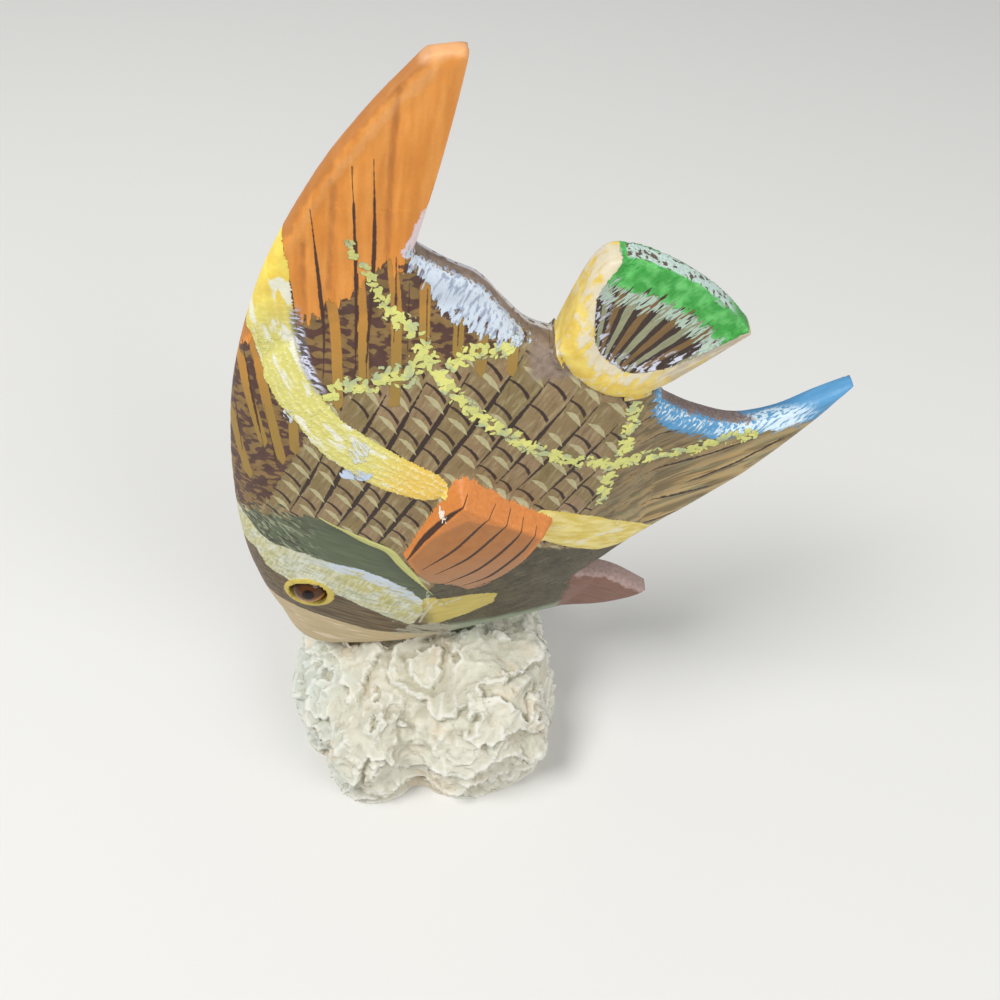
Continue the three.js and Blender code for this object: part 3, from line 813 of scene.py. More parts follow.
class Paint:
    """Adds nodes to one node tree."""

    def __init__(self, tree):
        self.tree = tree

    def feed(self, socket, value):
        """Links a field to a socket, or sets the socket to a number or a colour."""
        if isinstance(value, Field):
            self.tree.links.new(value.socket, socket)
        elif isinstance(value, tuple):
            socket.default_value = linear_colour(value)
        else:
            socket.default_value = value

    def node(self, kind, inputs, **settings):
        node = self.tree.nodes.new(kind)
        for name, value in settings.items():
            setattr(node, name, value)
        for label, value in inputs.items():
            self.feed(node.inputs[label], value)
        return node

    def add(self, kind, inputs, output=0, **settings):
        """One output of a new node, with the inputs and the output given by name or number."""
        return Field(self, self.node(kind, inputs, **settings).outputs[output])

    def math(self, operation, *values):
        return self.add("ShaderNodeMath", dict(enumerate(values)), operation=operation)

    def step(self, value, low, high):
        """0 on the low side, 1 on the high side and smooth between; low may be the larger number."""
        inputs = {"Value": value, "From Min": low, "From Max": high}
        return self.add("ShaderNodeMapRange", inputs, "Result", interpolation_type="SMOOTHSTEP")

    def mix(self, share, first, second):
        return self.add("ShaderNodeMix", {0: share, 6: first, 7: second}, 2, data_type="RGBA")

    def place(self):
        metres = self.add("ShaderNodeTexCoord", {}, "Object")
        return self.add("ShaderNodeVectorMath", {0: metres, "Scale": 1 / MM}, operation="SCALE")

    def parts(self, vector):
        node = self.node("ShaderNodeSeparateXYZ", {0: vector})
        return [Field(self, output) for output in node.outputs]

    def vector(self, *parts):
        return self.add("ShaderNodeCombineXYZ", dict(enumerate(parts)))

    def field(self, name):
        """What the mesh has recorded under a name."""
        return self.add("ShaderNodeAttribute", {}, "Fac", attribute_name=name)

    def ramp(self, name, low, high):
        return self.step(self.field(name), low, high)

    def noise(self, vector, size, detail=1.0):
        inputs = {"Vector": vector, "Scale": 1 / size, "Detail": detail}
        return self.add("ShaderNodeTexNoise", inputs, "Fac")

    def cells(self, vector, size, feature="F1"):
        inputs = {"Vector": vector, "Scale": 1 / size}
        return self.add("ShaderNodeTexVoronoi", inputs, "Distance", feature=feature)

    def pick(self, number, values):
        """The value that stands at a whole number's place in a row of values from 0 to 1."""
        node = self.node("ShaderNodeValToRGB", {0: (number + 0.5) / len(values)})
        ramp = node.color_ramp
        ramp.interpolation = "CONSTANT"
        ramp.elements[1].position = 1 / len(values)
        for index in range(2, len(values)):
            ramp.elements.new(index / len(values))
        for element, value in zip(ramp.elements, values):
            element.color = (value, value, value, 1.0)
        return Field(self, node.outputs[0])

    def scatter(self, *numbers):
        """An unrelated value from 0 to 1 for each set of whole numbers."""
        inputs = {"Vector": self.vector(*numbers)}
        return self.add("ShaderNodeTexWhiteNoise", inputs, "Value", noise_dimensions="3D")

    def from_eye(self, place, right=0.0, up=0.0):
        """How far a place lies from a point near the eye's middle, upwards and in a straight line."""
        x, y, z = self.parts(place)
        from_x = x - (float(EYE_PLACE[0] / MM) + right)
        from_z = z - (float(EYE_PLACE[1] / MM) + up)
        return from_z, self.math("SQRT", from_x * from_x + from_z * from_z)

    def use(self, group, inputs):
        node = self.node("ShaderNodeGroup", {}, node_tree=group)
        for label, value in inputs.items():
            self.feed(node.inputs[label], value)
        return {output.name: Field(self, output) for output in node.outputs}


def new_group(name, takes, gives):
    """The paint of a new shader node group, the fields that it takes and the node that gives its results."""
    tree = bpy.data.node_groups.new(name, "ShaderNodeTree")
    for direction, sockets in (("INPUT", takes), ("OUTPUT", gives)):
        for label, kind in sockets.items():
            tree.interface.new_socket(name=label, in_out=direction, socket_type="NodeSocket" + kind)
    paint = Paint(tree)
    source = paint.node("NodeGroupInput", {})
    result = paint.node("NodeGroupOutput", {})
    given = {label: Field(paint, source.outputs[label]) for label in takes}
    return paint, given, result


def brush_wobble_group():
    """Uneven values, around zero, that make painted edges ragged."""
    paint, given, result = new_group("brush wobble", {}, {"Broad": "Float", "Fine": "Float"})
    place = paint.place()
    paint.feed(result.inputs["Broad"], paint.noise(place, 1.5, 2.0) - 0.5)
    paint.feed(result.inputs["Fine"], paint.noise(place, 0.42) - 0.5)
    return paint.tree


def brush_streaks_group():
    """Long streaks that a dry brush leaves along one direction of the flank."""
    takes = {"Direction": "Float", "Length": "Float", "Width": "Float"}
    paint, given, result = new_group("brush streaks", takes, {"Streak": "Float"})
    x, y, z = paint.parts(paint.place())
    turn_x = paint.math("COSINE", given["Direction"])
    turn_z = paint.math("SINE", given["Direction"])
    along = (x * turn_x + z * turn_z) / given["Length"]
    across = (z * turn_x - x * turn_z) / given["Width"]
    streak = paint.noise(paint.vector(along, across, y / given["Width"]), 1.0, 2.0)
    paint.feed(result.inputs["Streak"], streak)
    return paint.tree


def drawn_strokes_group():
    """Strokes of a fan: full in the middle of their length and pointed at their ends."""
    labels = ("Count", "Room", "Reach", "Width", "Taper", "Wobble")
    paint, given, result = new_group("drawn strokes", dict.fromkeys(labels, "Float"), {"Stroke": "Float"})
    nearest = paint.math("ROUND", given["Count"])
    away = paint.math("ABSOLUTE", given["Count"] - nearest) * given["Room"]
    fullness = 0.2 + 0.8 * paint.step(given["Reach"], 0.0, given["Taper"])
    width = given["Width"] * fullness + given["Wobble"]
    stroke = paint.step(away, width + 0.05, width - 0.05)
    kept = paint.step(given["Reach"], -0.1, 0.1)
    paint.feed(result.inputs["Stroke"], stroke * kept)
    return paint.tree


def hand_paint_group():
    """The unevenness of a hand-painted coat: mottled colour, varying sheen and a slightly rough skin."""
    takes = {"Colour": "Color", "Thickness": "Float"}
    gives = {"Colour": "Color", "Roughness": "Float", "Height": "Float"}
    paint, given, result = new_group("hand paint", takes, gives)
    place = paint.place()
    broad = paint.noise(place, 3.2, 2.0)
    fine = paint.noise(place, 0.3, 2.0)
    mottling = {"Color": given["Colour"], "Value": 0.86 + 0.16 * broad + 0.12 * fine}
    paint.feed(result.inputs["Colour"], paint.add("ShaderNodeHueSaturation", mottling))
    paint.feed(result.inputs["Roughness"], 0.38 + 0.16 * broad + 0.14 * fine)
    paint.feed(result.inputs["Height"], given["Thickness"] + 0.035 * fine + 0.04 * broad)
    return paint.tree


class Coat(Paint):
    """A painted skin in the making: a colour and a thickness that layers are laid over, one after another."""

    def __init__(self, tree, groups):
        super().__init__(tree)
        self.groups = groups
        self.colour = BARE_WOOD
        self.thickness = 0.0
        self.spot = self.place()
        self.x, self.y, self.z = self.parts(self.spot)
        wobble = self.use(groups["brush wobble"], {})
        self.broad = wobble["Broad"]
        self.fine = wobble["Fine"]

    def ragged(self, distance, wobble=0.35, softness=0.1, shift=0.0):
        """A mask inside an edge that the brush made ragged."""
        moved = distance + self.broad * (1.6 * wobble) + self.fine * (1.4 * wobble)
        return self.step(moved, shift - softness, shift + softness)

    def strokes(self, fan, width, taper, wobble=0.2):
        inputs = {label: self.field(fan + "_" + label.lower()) for label in ("Count", "Room", "Reach")}
        inputs.update({"Width": width, "Taper": taper, "Wobble": self.fine * wobble})
        return self.use(self.groups["drawn strokes"], inputs)["Stroke"]

    def streaks(self, degrees, length, width):
        inputs = {"Direction": math.radians(degrees), "Length": length, "Width": width}
        return self.use(self.groups["brush streaks"], inputs)["Streak"]

    def brushed(self, degrees, length, width, low, high):
        """A mask in streaks: none of a streak at its low value and all of it at its high one."""
        return self.step(self.streaks(degrees, length, width), low, high)

    def touches(self, degrees, length, width, shift):
        """Short leaf-shaped touches all one way: how far from the nearest one's middle, and its own tint."""
        turn = math.radians(degrees)
        along = (self.x * math.cos(turn) + self.z * math.sin(turn)) / length + shift
        across = (self.z * math.cos(turn) - self.x * math.sin(turn)) / width + self.fine * 0.5
        node = self.node("ShaderNodeTexVoronoi", {}, voronoi_dimensions="2D")
        self.feed(node.inputs["Vector"], self.vector(along, across, 0.0))
        self.feed(node.inputs["Scale"], 1.0)
        return Field(self, node.outputs["Distance"]), Field(self, node.outputs["Color"])

    def blot(self, middle_x, middle_z, half_width, half_height, fray=0.0):
        """A small uneven blot of paint; fray breaks up its edge."""
        from_x = (self.x - middle_x) / half_width
        from_z = (self.z - middle_z) / half_height
        inside = 1.0 - from_x * from_x - from_z * from_z + self.broad * 2.4
        if fray:
            inside = inside + self.fine * fray
        return self.step(inside, 0.0, 0.2)

    def lay(self, mask, colour, thickness=0.0):
        """Paints a colour over what is there, and raises it by a thickness."""
        self.colour = self.mix(mask, self.colour, colour)
        if thickness:
            self.thickness = self.thickness + mask * thickness


def new_finish(name):
    """A new material, the paint for its nodes and its shader."""
    finish = bpy.data.materials.new(name)
    finish.use_nodes = True
    finish.node_tree.nodes.clear()
    paint = Paint(finish.node_tree)
    shader = paint.node("ShaderNodeBsdfPrincipled", {})
    output = paint.node("ShaderNodeOutputMaterial", {})
    paint.tree.links.new(shader.outputs["BSDF"], output.inputs["Surface"])
    return finish, paint, shader


def raise_surface(paint, shader, height):
    bump = {"Strength": 1.0, "Distance": MM, "Height": height}
    paint.feed(shader.inputs["Normal"], paint.add("ShaderNodeBump", bump))


# Areas of the flank.

def scale_rows(coat, rise, count, bend, shift):
    """Which scale a place is in: its band, its share of the way across, its row and its place in the row."""
    band = coat.math("FLOOR", count)
    share = count - band
    droop = share * share * bend - share * 0.25
    rows = (rise + droop) / SCALE_LENGTH + coat.pick(band + 1.0, SCALE_SHIFTS) + shift
    row = coat.math("FLOOR", rows)
    return band, share, row, rows - row


def paint_scales(coat):
    """Olive cells between dark slanting strokes, each with a dark arc and a pale arc over it."""
    rise = coat.x * math.cos(SCALE_SLANT) + coat.z * math.sin(SCALE_SLANT)
    count = coat.field("scale_count")
    band, share, row, part = scale_rows(coat, rise, count, 1.5, 0.0)
    tint = coat.scatter(band, row, 1.0)
    coat.lay(1.0, coat.mix(tint, (128, 110, 68), (146, 120, 88)))
    worked = coat.streaks(57, 2.4, 0.4)
    coat.lay(coat.step(worked, 0.5, 0.72) * 0.6, (166, 152, 114))
    coat.lay(coat.step(worked, 0.44, 0.28) * 0.5, (98, 80, 50))
    coat.lay(coat.step(coat.x + coat.z * 0.35, 36, 46) * 0.1, (98, 80, 54))
    away = coat.math("ABSOLUTE", part - 0.5) * SCALE_LENGTH
    width = 0.1 + share * 0.16 + coat.fine * 0.16
    arc = coat.step(away, width + 0.05, width - 0.05) * coat.step(share, 0.9, 0.84)
    coat.lay(arc * coat.math("GREATER_THAN", coat.scatter(band, row, 2.0), 0.08), (52, 32, 24))
    band, share, row, part = scale_rows(coat, rise, count - 0.08, 1.3, 0.42)
    away = coat.math("ABSOLUTE", part - 0.5) * SCALE_LENGTH
    width = coat.math("SINE", share * math.pi) * 0.39 - 0.07 + coat.fine * 0.12
    shown = coat.math("GREATER_THAN", coat.scatter(band, row, 5.0), 0.16)
    pale = coat.mix(coat.fine + 0.5, (160, 152, 112), (192, 184, 142))
    coat.lay(coat.strokes("scale", 0.27, 7.0), (50, 33, 24))
    coat.lay(coat.step(away, width + 0.05, width - 0.05) * shown, pale)


def paint_brick(coat):
    """Maroon and tan dabs between ochre rays, on the forehead and below the dorsal fin."""
    area = coat.ragged(coat.field("brick"), 0.8)
    dabs = coat.noise(coat.vector(coat.x / 1.3, coat.y, coat.z / 0.66), 1.0, 1.5)
    shade = coat.noise(coat.spot, 1.1, 1.0)
    maroon = coat.mix(shade, (56, 32, 26), (100, 68, 56))
    tan = coat.mix(shade, (96, 72, 38), (152, 122, 72))
    brick = coat.mix(coat.step(dabs, 0.48, 0.55), maroon, tan)
    coat.lay(area, brick, 0.04)


def paint_rays(coat):
    """Ochre rays that run down out of the orange."""
    area = coat.ragged(coat.field("brick"), 0.5, shift=-2.5)
    ray = coat.mix(coat.ramp("orange", -9, 0.0), (152, 121, 54), (186, 130, 52))
    coat.lay(coat.strokes("ray", 0.52, 0.9, 0.15) * area, ray, 0.05)


def paint_orange(coat):
    """The orange dorsal fin, its dark strokes and pale rubbed tip, with painted shade in its flutes and at
    its front edge and a painted highlight just inside that edge.
    """
    orange = coat.mix(coat.brushed(80, 6.0, 0.9, 0.3, 0.75), (213, 133, 46), (230, 153, 68))
    orange = coat.mix(coat.ramp("orange", 6, 24) * 0.5, orange, (230, 160, 92))
    spread = coat.field("orange") + coat.streaks(86, 7.0, 0.8) * 4.2 - 2.1
    coat.lay(coat.ragged(spread, 0.5), orange, 0.05)
    # Painted shade in the carved flutes.
    flute = coat.step(coat.field("flutes") + coat.broad * 0.5, 0.42, 0.05)
    coat.lay(flute * coat.ramp("orange", 0.0, 2) * 0.5, (166, 98, 42))
    front = coat.field("dorsal_edge") + coat.broad * 1.2
    # A painted highlight along the rounded front edge, and painted shade at the very edge where it turns
    # away.
    front_highlight = coat.step(front, 1.7, 1.3) * coat.step(front, 0.7, 1.1)
    coat.lay(front_highlight * coat.ramp("orange", 4, 10) * 0.2, (240, 190, 136))
    coat.lay(coat.step(front, 0.8, 0.3) * 0.75 * coat.ramp("orange", -1, 1), (176, 112, 52))
    tip = coat.step(coat.field("tip_edge") + coat.broad * 0.9, 0.9, 0.1)
    coat.lay(tip * 0.5, (234, 184, 138))
    coat.lay(coat.strokes("fin_line", 0.19, 9.0, 0.1) * coat.ramp("brick", -14, -12), (70, 40, 28))
    coat.lay(coat.ragged(coat.field("dorsal_lilac"), 0.4) * 0.9, (222, 208, 214), 0.05)


def paint_anal_fin(coat):
    """Brown, olive and ochre rays, dark strokes, and a blue upper edge with white brushing."""
    area = coat.ragged(coat.field("anal"), 0.6)
    second = coat.streaks(30, 7.0, 0.6)
    rays = coat.mix(coat.brushed(33, 11.0, 0.85, 0.38, 0.6), (122, 106, 72), (176, 153, 107))
    rays = coat.mix(coat.step(second, 0.55, 0.66) * 0.8, rays, (184, 151, 97))
    rays = coat.mix(coat.step(second, 0.42, 0.34) * 0.7, rays, (134, 136, 102))
    rays = coat.mix(coat.brushed(28, 5.0, 0.32, 0.6, 0.68) * 0.7, rays, (78, 62, 44))
    rays = coat.mix(coat.step(coat.x - coat.z, -14, -24) * 0.5, rays, (92, 76, 54))
    coat.lay(area, rays)
    coat.lay(coat.strokes("anal_line", 0.14, 4.0) * area, (58, 44, 36))
    blue_area = coat.ragged(coat.field("anal_blue") + (coat.streaks(35, 2.0, 0.3) - 0.5) * 3.0, 0.4)
    blue = coat.mix(coat.streaks(25, 5.0, 0.6), (58, 128, 180), (104, 168, 210))
    coat.lay(blue_area, blue, 0.04)
    edge = coat.field("anal_edge")
    hair = coat.streaks(52, 2.6, 0.3)
    from_far = coat.y + coat.broad * 0.8 + (hair - 0.5) * 2.2
    patch = coat.step(from_far, 0.5, 0.2) * coat.step(edge + coat.broad, 2.0, 1.3)
    patch = patch * coat.step(coat.x + from_far * 2.0, 42.5, 40.0)
    whitened = coat.step(hair + coat.step(coat.x, 33, 38) * 0.1, 0.49, 0.6)
    coat.lay(blue_area * patch * whitened, (206, 226, 238), 0.05)
    brown = coat.step(edge, 1.2, 0.9) * coat.step(from_far, -0.9, -0.7)
    brown = brown * coat.step(coat.x + from_far, 38.5, 37.0) * area
    coat.lay(brown, coat.mix(hair, (84, 62, 54), (164, 148, 142)))


def paint_underside(coat):
    """Grey-green belly, darker towards the pelvic fin, which is red-brown with a pinkish cut edge."""
    area = coat.ragged(coat.field("underside"), 0.6, 0.3)
    crackle = coat.cells(coat.spot, 0.9, "DISTANCE_TO_EDGE")
    belly = coat.mix(coat.noise(coat.spot, 2.0, 2.0), (52, 44, 31), (102, 94, 68))
    belly = coat.mix(coat.step(crackle, 0.1, 0.03) * 0.5, belly, (48, 43, 31))
    belly = coat.mix(coat.brushed(20, 6.0, 0.5, 0.56, 0.68) * 0.5, belly, (108, 105, 82))
    belly = coat.mix(coat.brushed(22, 6.0, 0.4, 0.6, 0.7) * 0.6, belly, (54, 48, 36))
    lower = coat.step(coat.z - coat.x * 0.09 + coat.broad, 24.2, 22.4)
    belly = coat.mix(lower * 0.8, belly, (150, 164, 140))
    coat.lay(area, belly)
    pelvic = coat.ragged(coat.field("pelvic"), 0.9, 0.5)
    red = coat.mix(coat.streaks(-25, 3.0, 0.4), (108, 76, 62), (142, 104, 90))
    coat.lay(pelvic, red)
    cut = coat.step(coat.field("pelvic_edge") + coat.broad * 1.4, 0.8, 0.5) * pelvic
    coat.lay(cut, coat.mix(coat.fine + 0.5, (138, 108, 98), (186, 162, 154)), 0.05)


def paint_back(coat):
    """A white brushed patch behind the dorsal fin and the brown edge above it."""
    on_back = coat.step(coat.x, 2.2, 3.4) * coat.step(coat.z, 64, 67) * coat.step(coat.x, 22, 19)
    shade = coat.noise(coat.spot, 0.8, 2.0)
    brown = coat.mix(shade, (90, 70, 58), (166, 147, 130))
    stump = coat.step(coat.x + coat.broad, 13.2, 14.6) * coat.step(coat.z, 65.5, 67)
    coat.lay(stump * on_back, brown)
    edge = coat.field("back_edge")
    spread = coat.field("back_white") + (coat.streaks(68, 3.0, 0.5) - 0.5) * 4.6
    hair = coat.streaks(64, 2.2, 0.42)
    white = coat.mix(coat.step(hair, 0.36, 0.52), (146, 156, 176), (198, 209, 220))
    rim = coat.step(edge, 0.9, 0.7) * coat.step(coat.y + (hair - 0.5) * 2.4, -0.9, -0.7)
    rim = rim * on_back
    core = coat.ragged(coat.field("back_white"), 0.3, 0.1, 1.1)
    brushed = coat.math("MAXIMUM", coat.step(hair, 0.3, 0.38), core)
    coat.lay(coat.ragged(spread, 0.3) * brushed, white, 0.08)
    coat.lay(rim, brown)
    hairline = coat.step(coat.y, 0.3, 0.7) * coat.step(edge, 0.8, 0.6)
    coat.lay(rim * hairline * coat.step(shade, 0.36, 0.46), (214, 214, 220), 0.03)


def paint_cheek(coat):
    """Grey-green cheek below the yellow-green gill line, with painted shade just under the line's step."""
    left = coat.step(coat.x, -8, -14)
    spread = coat.field("cheek") + left * ((coat.streaks(-40, 2.2, 0.5) - 0.5) * 10.0 - 1.2)
    cheek = coat.mix(coat.streaks(-28, 5.0, 0.5), (64, 76, 56), (104, 112, 84))
    cheek = coat.mix(left * coat.brushed(-40, 1.6, 0.4, 0.5, 0.6), cheek, (64, 56, 42))
    cheek = coat.mix(left * coat.brushed(-52, 1.8, 0.4, 0.54, 0.62), cheek, (140, 148, 118))
    coat.lay(coat.ragged(spread, 0.25, 0.15), cheek)
    # Painted shade on the cheek just below the step at the gill line.
    shade = coat.ramp("gill", -2.2, -0.2) * coat.ramp("gill_reach", 0.0, 3)
    coat.lay(shade * coat.ramp("cheek", -0.1, 0.1) * 0.45, (58, 66, 50))
    width = coat.ramp("gill_reach", 0.0, 7) * 0.55 + 0.08
    away = coat.math("ABSOLUTE", coat.field("gill") - 0.1)
    gill = coat.step(away, width + 0.06, width - 0.04) * coat.ramp("gill_reach", 0.0, 0.3)
    coat.lay(gill, (200, 200, 122), 0.06)


def paint_dabs(coat):
    """Chains of thick yellow-green dabs, each a short pointed touch of the brush."""
    away = coat.field("dabs") / 1.15
    near = away * away * 0.42
    shown = 0.0
    for turn, shift in ((62, 0.0), (-38, 7.3), (15, 3.1)):
        touch, tint = coat.touches(turn, 1.7, 0.75, shift)
        shown = coat.math("MAXIMUM", shown, coat.step(touch + near, 0.45, 0.38))
    yellow = coat.mix(tint, (222, 220, 124), (196, 198, 118))
    colour = coat.mix(coat.step(coat.broad, 0.0, 0.16) * 0.8, yellow, (166, 178, 142))
    coat.lay(shown, colour, 0.12)


def paint_body_bar(coat):
    """The thick yellow bar down the body, with white patches, rows of raised strokes and fringed edges."""
    across = coat.field("bar_across")
    along = coat.field("bar_along")
    fringe = coat.noise(coat.vector(along / 0.3, across / 2.0, 0.0), 1.0, 1.0) - 0.5
    body = coat.ragged(coat.field("body_bar") + fringe * 0.55, 0.15, 0.05)
    row = coat.math("SINE", across * (2 * math.pi / 0.85) + coat.broad * 9.0)
    tick = coat.math("SINE", along * (2 * math.pi / 0.62) + coat.fine * 12.0)
    kernels = coat.step(row * 0.45 + tick * 0.3 + coat.fine * 2.4, -0.4, 0.9)
    start = coat.step(along, 12, 4)
    end = coat.step(along, 24, 31)
    middle = coat.mix(kernels, (210, 203, 112), (224, 217, 142))
    yellow = coat.mix(coat.step(coat.broad, -0.15, 0.2), (232, 200, 76), (242, 220, 98))
    low = coat.mix(kernels, (234, 196, 82), (242, 222, 150))
    colour = coat.mix(start, middle, yellow)
    colour = coat.mix(end, colour, low)
    patch = coat.noise(coat.vector(along / 3.8, across / 1.5, 0.0), 1.0, 3.0)
    streak = coat.step(across, -2.2, -1.2) * coat.step(along, 3.4, 5.0) * start
    white = coat.step(patch + streak * 0.14 - start * 0.08 - end * 0.12, 0.54, 0.62)
    colour = coat.mix(white, colour, (230, 228, 206))
    coat.lay(body, colour)
    coat.thickness = coat.thickness + body * (0.1 + kernels * 0.06 * (1.0 - start))


def paint_body_bar_edge(coat):
    """White dashes over grey along the bar's upper edge, and white splashes at its end."""
    across = coat.field("bar_across")
    along = coat.field("bar_along")
    outer = coat.step(across, -0.5, 0.1) * coat.step(across, 1.05, 0.55)
    upper = coat.step(along, 7, 9) * coat.step(along, 17.5, 16)
    coat.lay(outer * upper * 0.8, (92, 86, 92))
    coat.lay(outer * upper * coat.brushed(-24, 1.2, 0.36, 0.47, 0.54), (206, 208, 224), 0.08)
    for *where, tint in WHITE_SPLASHES:
        coat.lay(coat.blot(*where) * coat.brushed(-62, 1.4, 0.3, 0.4, 0.5), tint, 0.08)


def paint_rear_bar(coat):
    """The yellow bar behind the pectoral fin."""
    rear = coat.mix(coat.brushed(-20, 5.0, 0.7, 0.35, 0.65), (208, 184, 82), (226, 210, 134))
    rear = coat.mix(coat.brushed(-15, 4.0, 1.2, 0.56, 0.66), rear, (224, 214, 180))
    coat.lay(coat.ragged(coat.field("rear_bar"), 0.15, 0.05), rear, 0.1)


def paint_snout(coat):
    """The brown stripe over the snout and the pale chin."""
    snout = coat.mix(coat.brushed(-32, 6.0, 0.35, 0.35, 0.65), (75, 56, 37), (116, 99, 70))
    coat.lay(coat.ragged(coat.field("face"), 0.2), snout)
    chin = coat.mix(coat.streaks(-30, 5.0, 0.8), (178, 158, 118), (206, 184, 144))
    chin = coat.mix(coat.brushed(-24, 6.0, 0.5, 0.6, 0.7) * 0.7, chin, (222, 206, 184))
    coat.lay(coat.ragged(coat.field("chin"), 0.2, 0.15), chin)


def paint_head_bar(coat):
    """The brushed pale bar over the head, with blue-white brushing along its upper side as a painted
    highlight, and its yellow arm.
    """
    brushed = coat.streaks(-28, 2.2, 0.5)
    worked = coat.streaks(58, 1.2, 0.3)
    bar = coat.mix(coat.step(brushed, 0.36, 0.6), (178, 181, 150), (208, 210, 194))
    low = coat.step(coat.field("head_bar") + coat.broad * 2.4, 2.6, 1.4)
    right = coat.step(coat.x + coat.z * 0.7, 12, 20)
    left = coat.step(coat.x, -13, -17)
    yellow_share = coat.math("MAXIMUM", low * 0.45, coat.math("MAXIMUM", right * 0.85, left * 0.6))
    yellow_share = yellow_share * coat.step(coat.broad, -0.14, 0.06)
    bar = coat.mix(yellow_share, bar, (186, 178, 96))
    bar = coat.mix(coat.step(worked, 0.5, 0.62) * 0.4, bar, (226, 222, 196))
    bar = coat.mix(coat.step(worked, 0.46, 0.36) * 0.3, bar, (140, 138, 104))
    # Blue-white brushing along the bar's upper side: a painted highlight.
    upper = coat.step(coat.x * 0.53 + coat.z * 0.85 + coat.broad * 1.4, 25.8, 27.4)
    upper = upper * coat.step(coat.x, -15, -7) * coat.ramp("head_bar", 1.9, 1.1)
    bar = coat.mix(upper * coat.step(brushed, 0.34, 0.5), bar, (196, 206, 216))
    head_bar = coat.ragged(coat.field("head_bar") + (brushed - 0.5) * 0.7, 0.2, 0.08)
    coat.lay(head_bar, bar, 0.07)
    arm = coat.mix(coat.streaks(12, 4.0, 0.5), (176, 154, 72), (208, 192, 110))
    inset_x = coat.step(coat.x + coat.z * 0.35 + coat.broad * 2.5, 9.0, 12.6)
    coat.lay(coat.ragged(coat.field("head_bar_arm"), 0.3, 0.08) * inset_x, arm, 0.07)


def paint_face_details(coat):
    """Scratches and a smear of glue on the snout, and the yellow ring round the eye."""
    scratch = coat.step(coat.field("scratches") + coat.fine * 0.2, 0.26, 0.12)
    coat.lay(scratch * coat.brushed(58, 1.2, 0.3, 0.4, 0.5) * 0.6, (206, 206, 190), 0.04)
    glue = coat.blot(1.4, 22.2, 4.8, 2.3) * coat.brushed(-32, 6.0, 0.35, 0.3, 0.5)
    coat.lay(glue * 0.75, (172, 168, 150))
    from_eye = coat.from_eye(coat.spot)[1]
    ring = coat.mix(coat.fine + 0.5, (184, 160, 66), (216, 198, 96))
    coat.lay(coat.ragged(3.15 - from_eye, 0.12, 0.08), ring, 0.08)
    coat.lay(coat.step(from_eye, 2.35, 2.1), (56, 38, 24))


def paint_pectoral_orange(coat, share):
    """The orange of the pectoral fins, bright where the free end is cut."""
    edge = coat.field("fin_edge")
    fade = coat.step(coat.x * 0.25 - coat.z, -44, -33)
    face = coat.mix(coat.broad + 0.5, (164, 98, 42), (188, 124, 62))
    face = coat.mix(fade * 0.8, face, (168, 128, 98))
    end = coat.mix(coat.fine + 0.5, (196, 110, 40), (220, 142, 70))
    top = coat.step(coat.z - coat.x * 0.2 + coat.broad * 2.0, 46, 50)
    bright = coat.step(edge + coat.broad * 0.7 - top * 1.3, 0.7, 0.0) * coat.step(fade, 0.75, 0.3)
    coat.lay(share, coat.mix(bright, face, end), 0.03)


def paint_pectoral_root(coat):
    """Orange that runs off the pectoral fin onto the flank around it."""
    paint_pectoral_orange(coat, coat.ragged(coat.field("fin_height"), 0.25, 0.05, 0.42))


def paint_tail_border(coat):
    """The tail's yellow border with its white patches."""
    yellow = coat.mix(coat.step(coat.broad, -0.2, 0.2), (219, 185, 78), (236, 211, 106))
    coat.lay(1.0, yellow, 0.05)
    patch = coat.noise(coat.spot, 1.4, 3.0) * 0.6 + coat.streaks(60, 2.4, 0.6) * 0.4
    inner = coat.ramp("tail_face", -2.2, -0.4) * 0.15
    coat.lay(coat.step(patch + inner, 0.54, 0.66) * 0.8, (220, 213, 196), 0.05)
    fading = coat.step(coat.x + coat.z * 0.3, 43, 50)
    coat.lay(fading * coat.brushed(25, 4.0, 0.6, 0.3, 0.6), (186, 172, 150))


def paint_tail_face(coat):
    """Dark and pale rays that end in white and green brushing."""
    face = coat.ragged(coat.field("tail_face"), 0.25, 0.07)
    count = coat.field("tail_line_count")
    band = coat.math("FLOOR", count)
    share = count - band
    pick = coat.math("MODULO", band + 20.0, 2.0)
    pale = coat.mix(coat.streaks(35, 4.0, 0.4), (128, 128, 96), (160, 160, 128))
    ochre = coat.mix(coat.streaks(35, 4.0, 0.4), (108, 80, 42), (134, 104, 58))
    ray = coat.mix(pick, pale, ochre)
    dark = coat.mix(coat.fine + 0.5, (44, 30, 22), (66, 48, 38))
    edge = coat.math("ABSOLUTE", share - 0.5) + coat.broad * 0.24
    coat.lay(face, coat.mix(coat.step(edge, 0.31, 0.25), dark, ray), 0.02)
    lilac = coat.step(coat.field("tail_face") + coat.broad * 1.6, 1.7, 0.9)
    coat.lay(face * lilac * coat.brushed(40, 1.4, 0.35, 0.5, 0.58), (196, 198, 212), 0.06)
    end = coat.field("tail_end")
    hair = coat.streaks(40, 3.0, 0.28)
    whitened = coat.ragged(4.3 - end + (hair - 0.5) * 5.0, 0.3, 0.1) * face
    coat.lay(whitened * coat.step(hair, 0.42, 0.5), (176, 196, 178), 0.05)
    green = coat.ragged(2.7 - end + (hair - 0.5) * 3.2, 0.35, 0.12) * face
    coat.lay(green, coat.mix(coat.step(coat.broad, -0.1, 0.2), (52, 158, 58), (106, 198, 106)), 0.05)


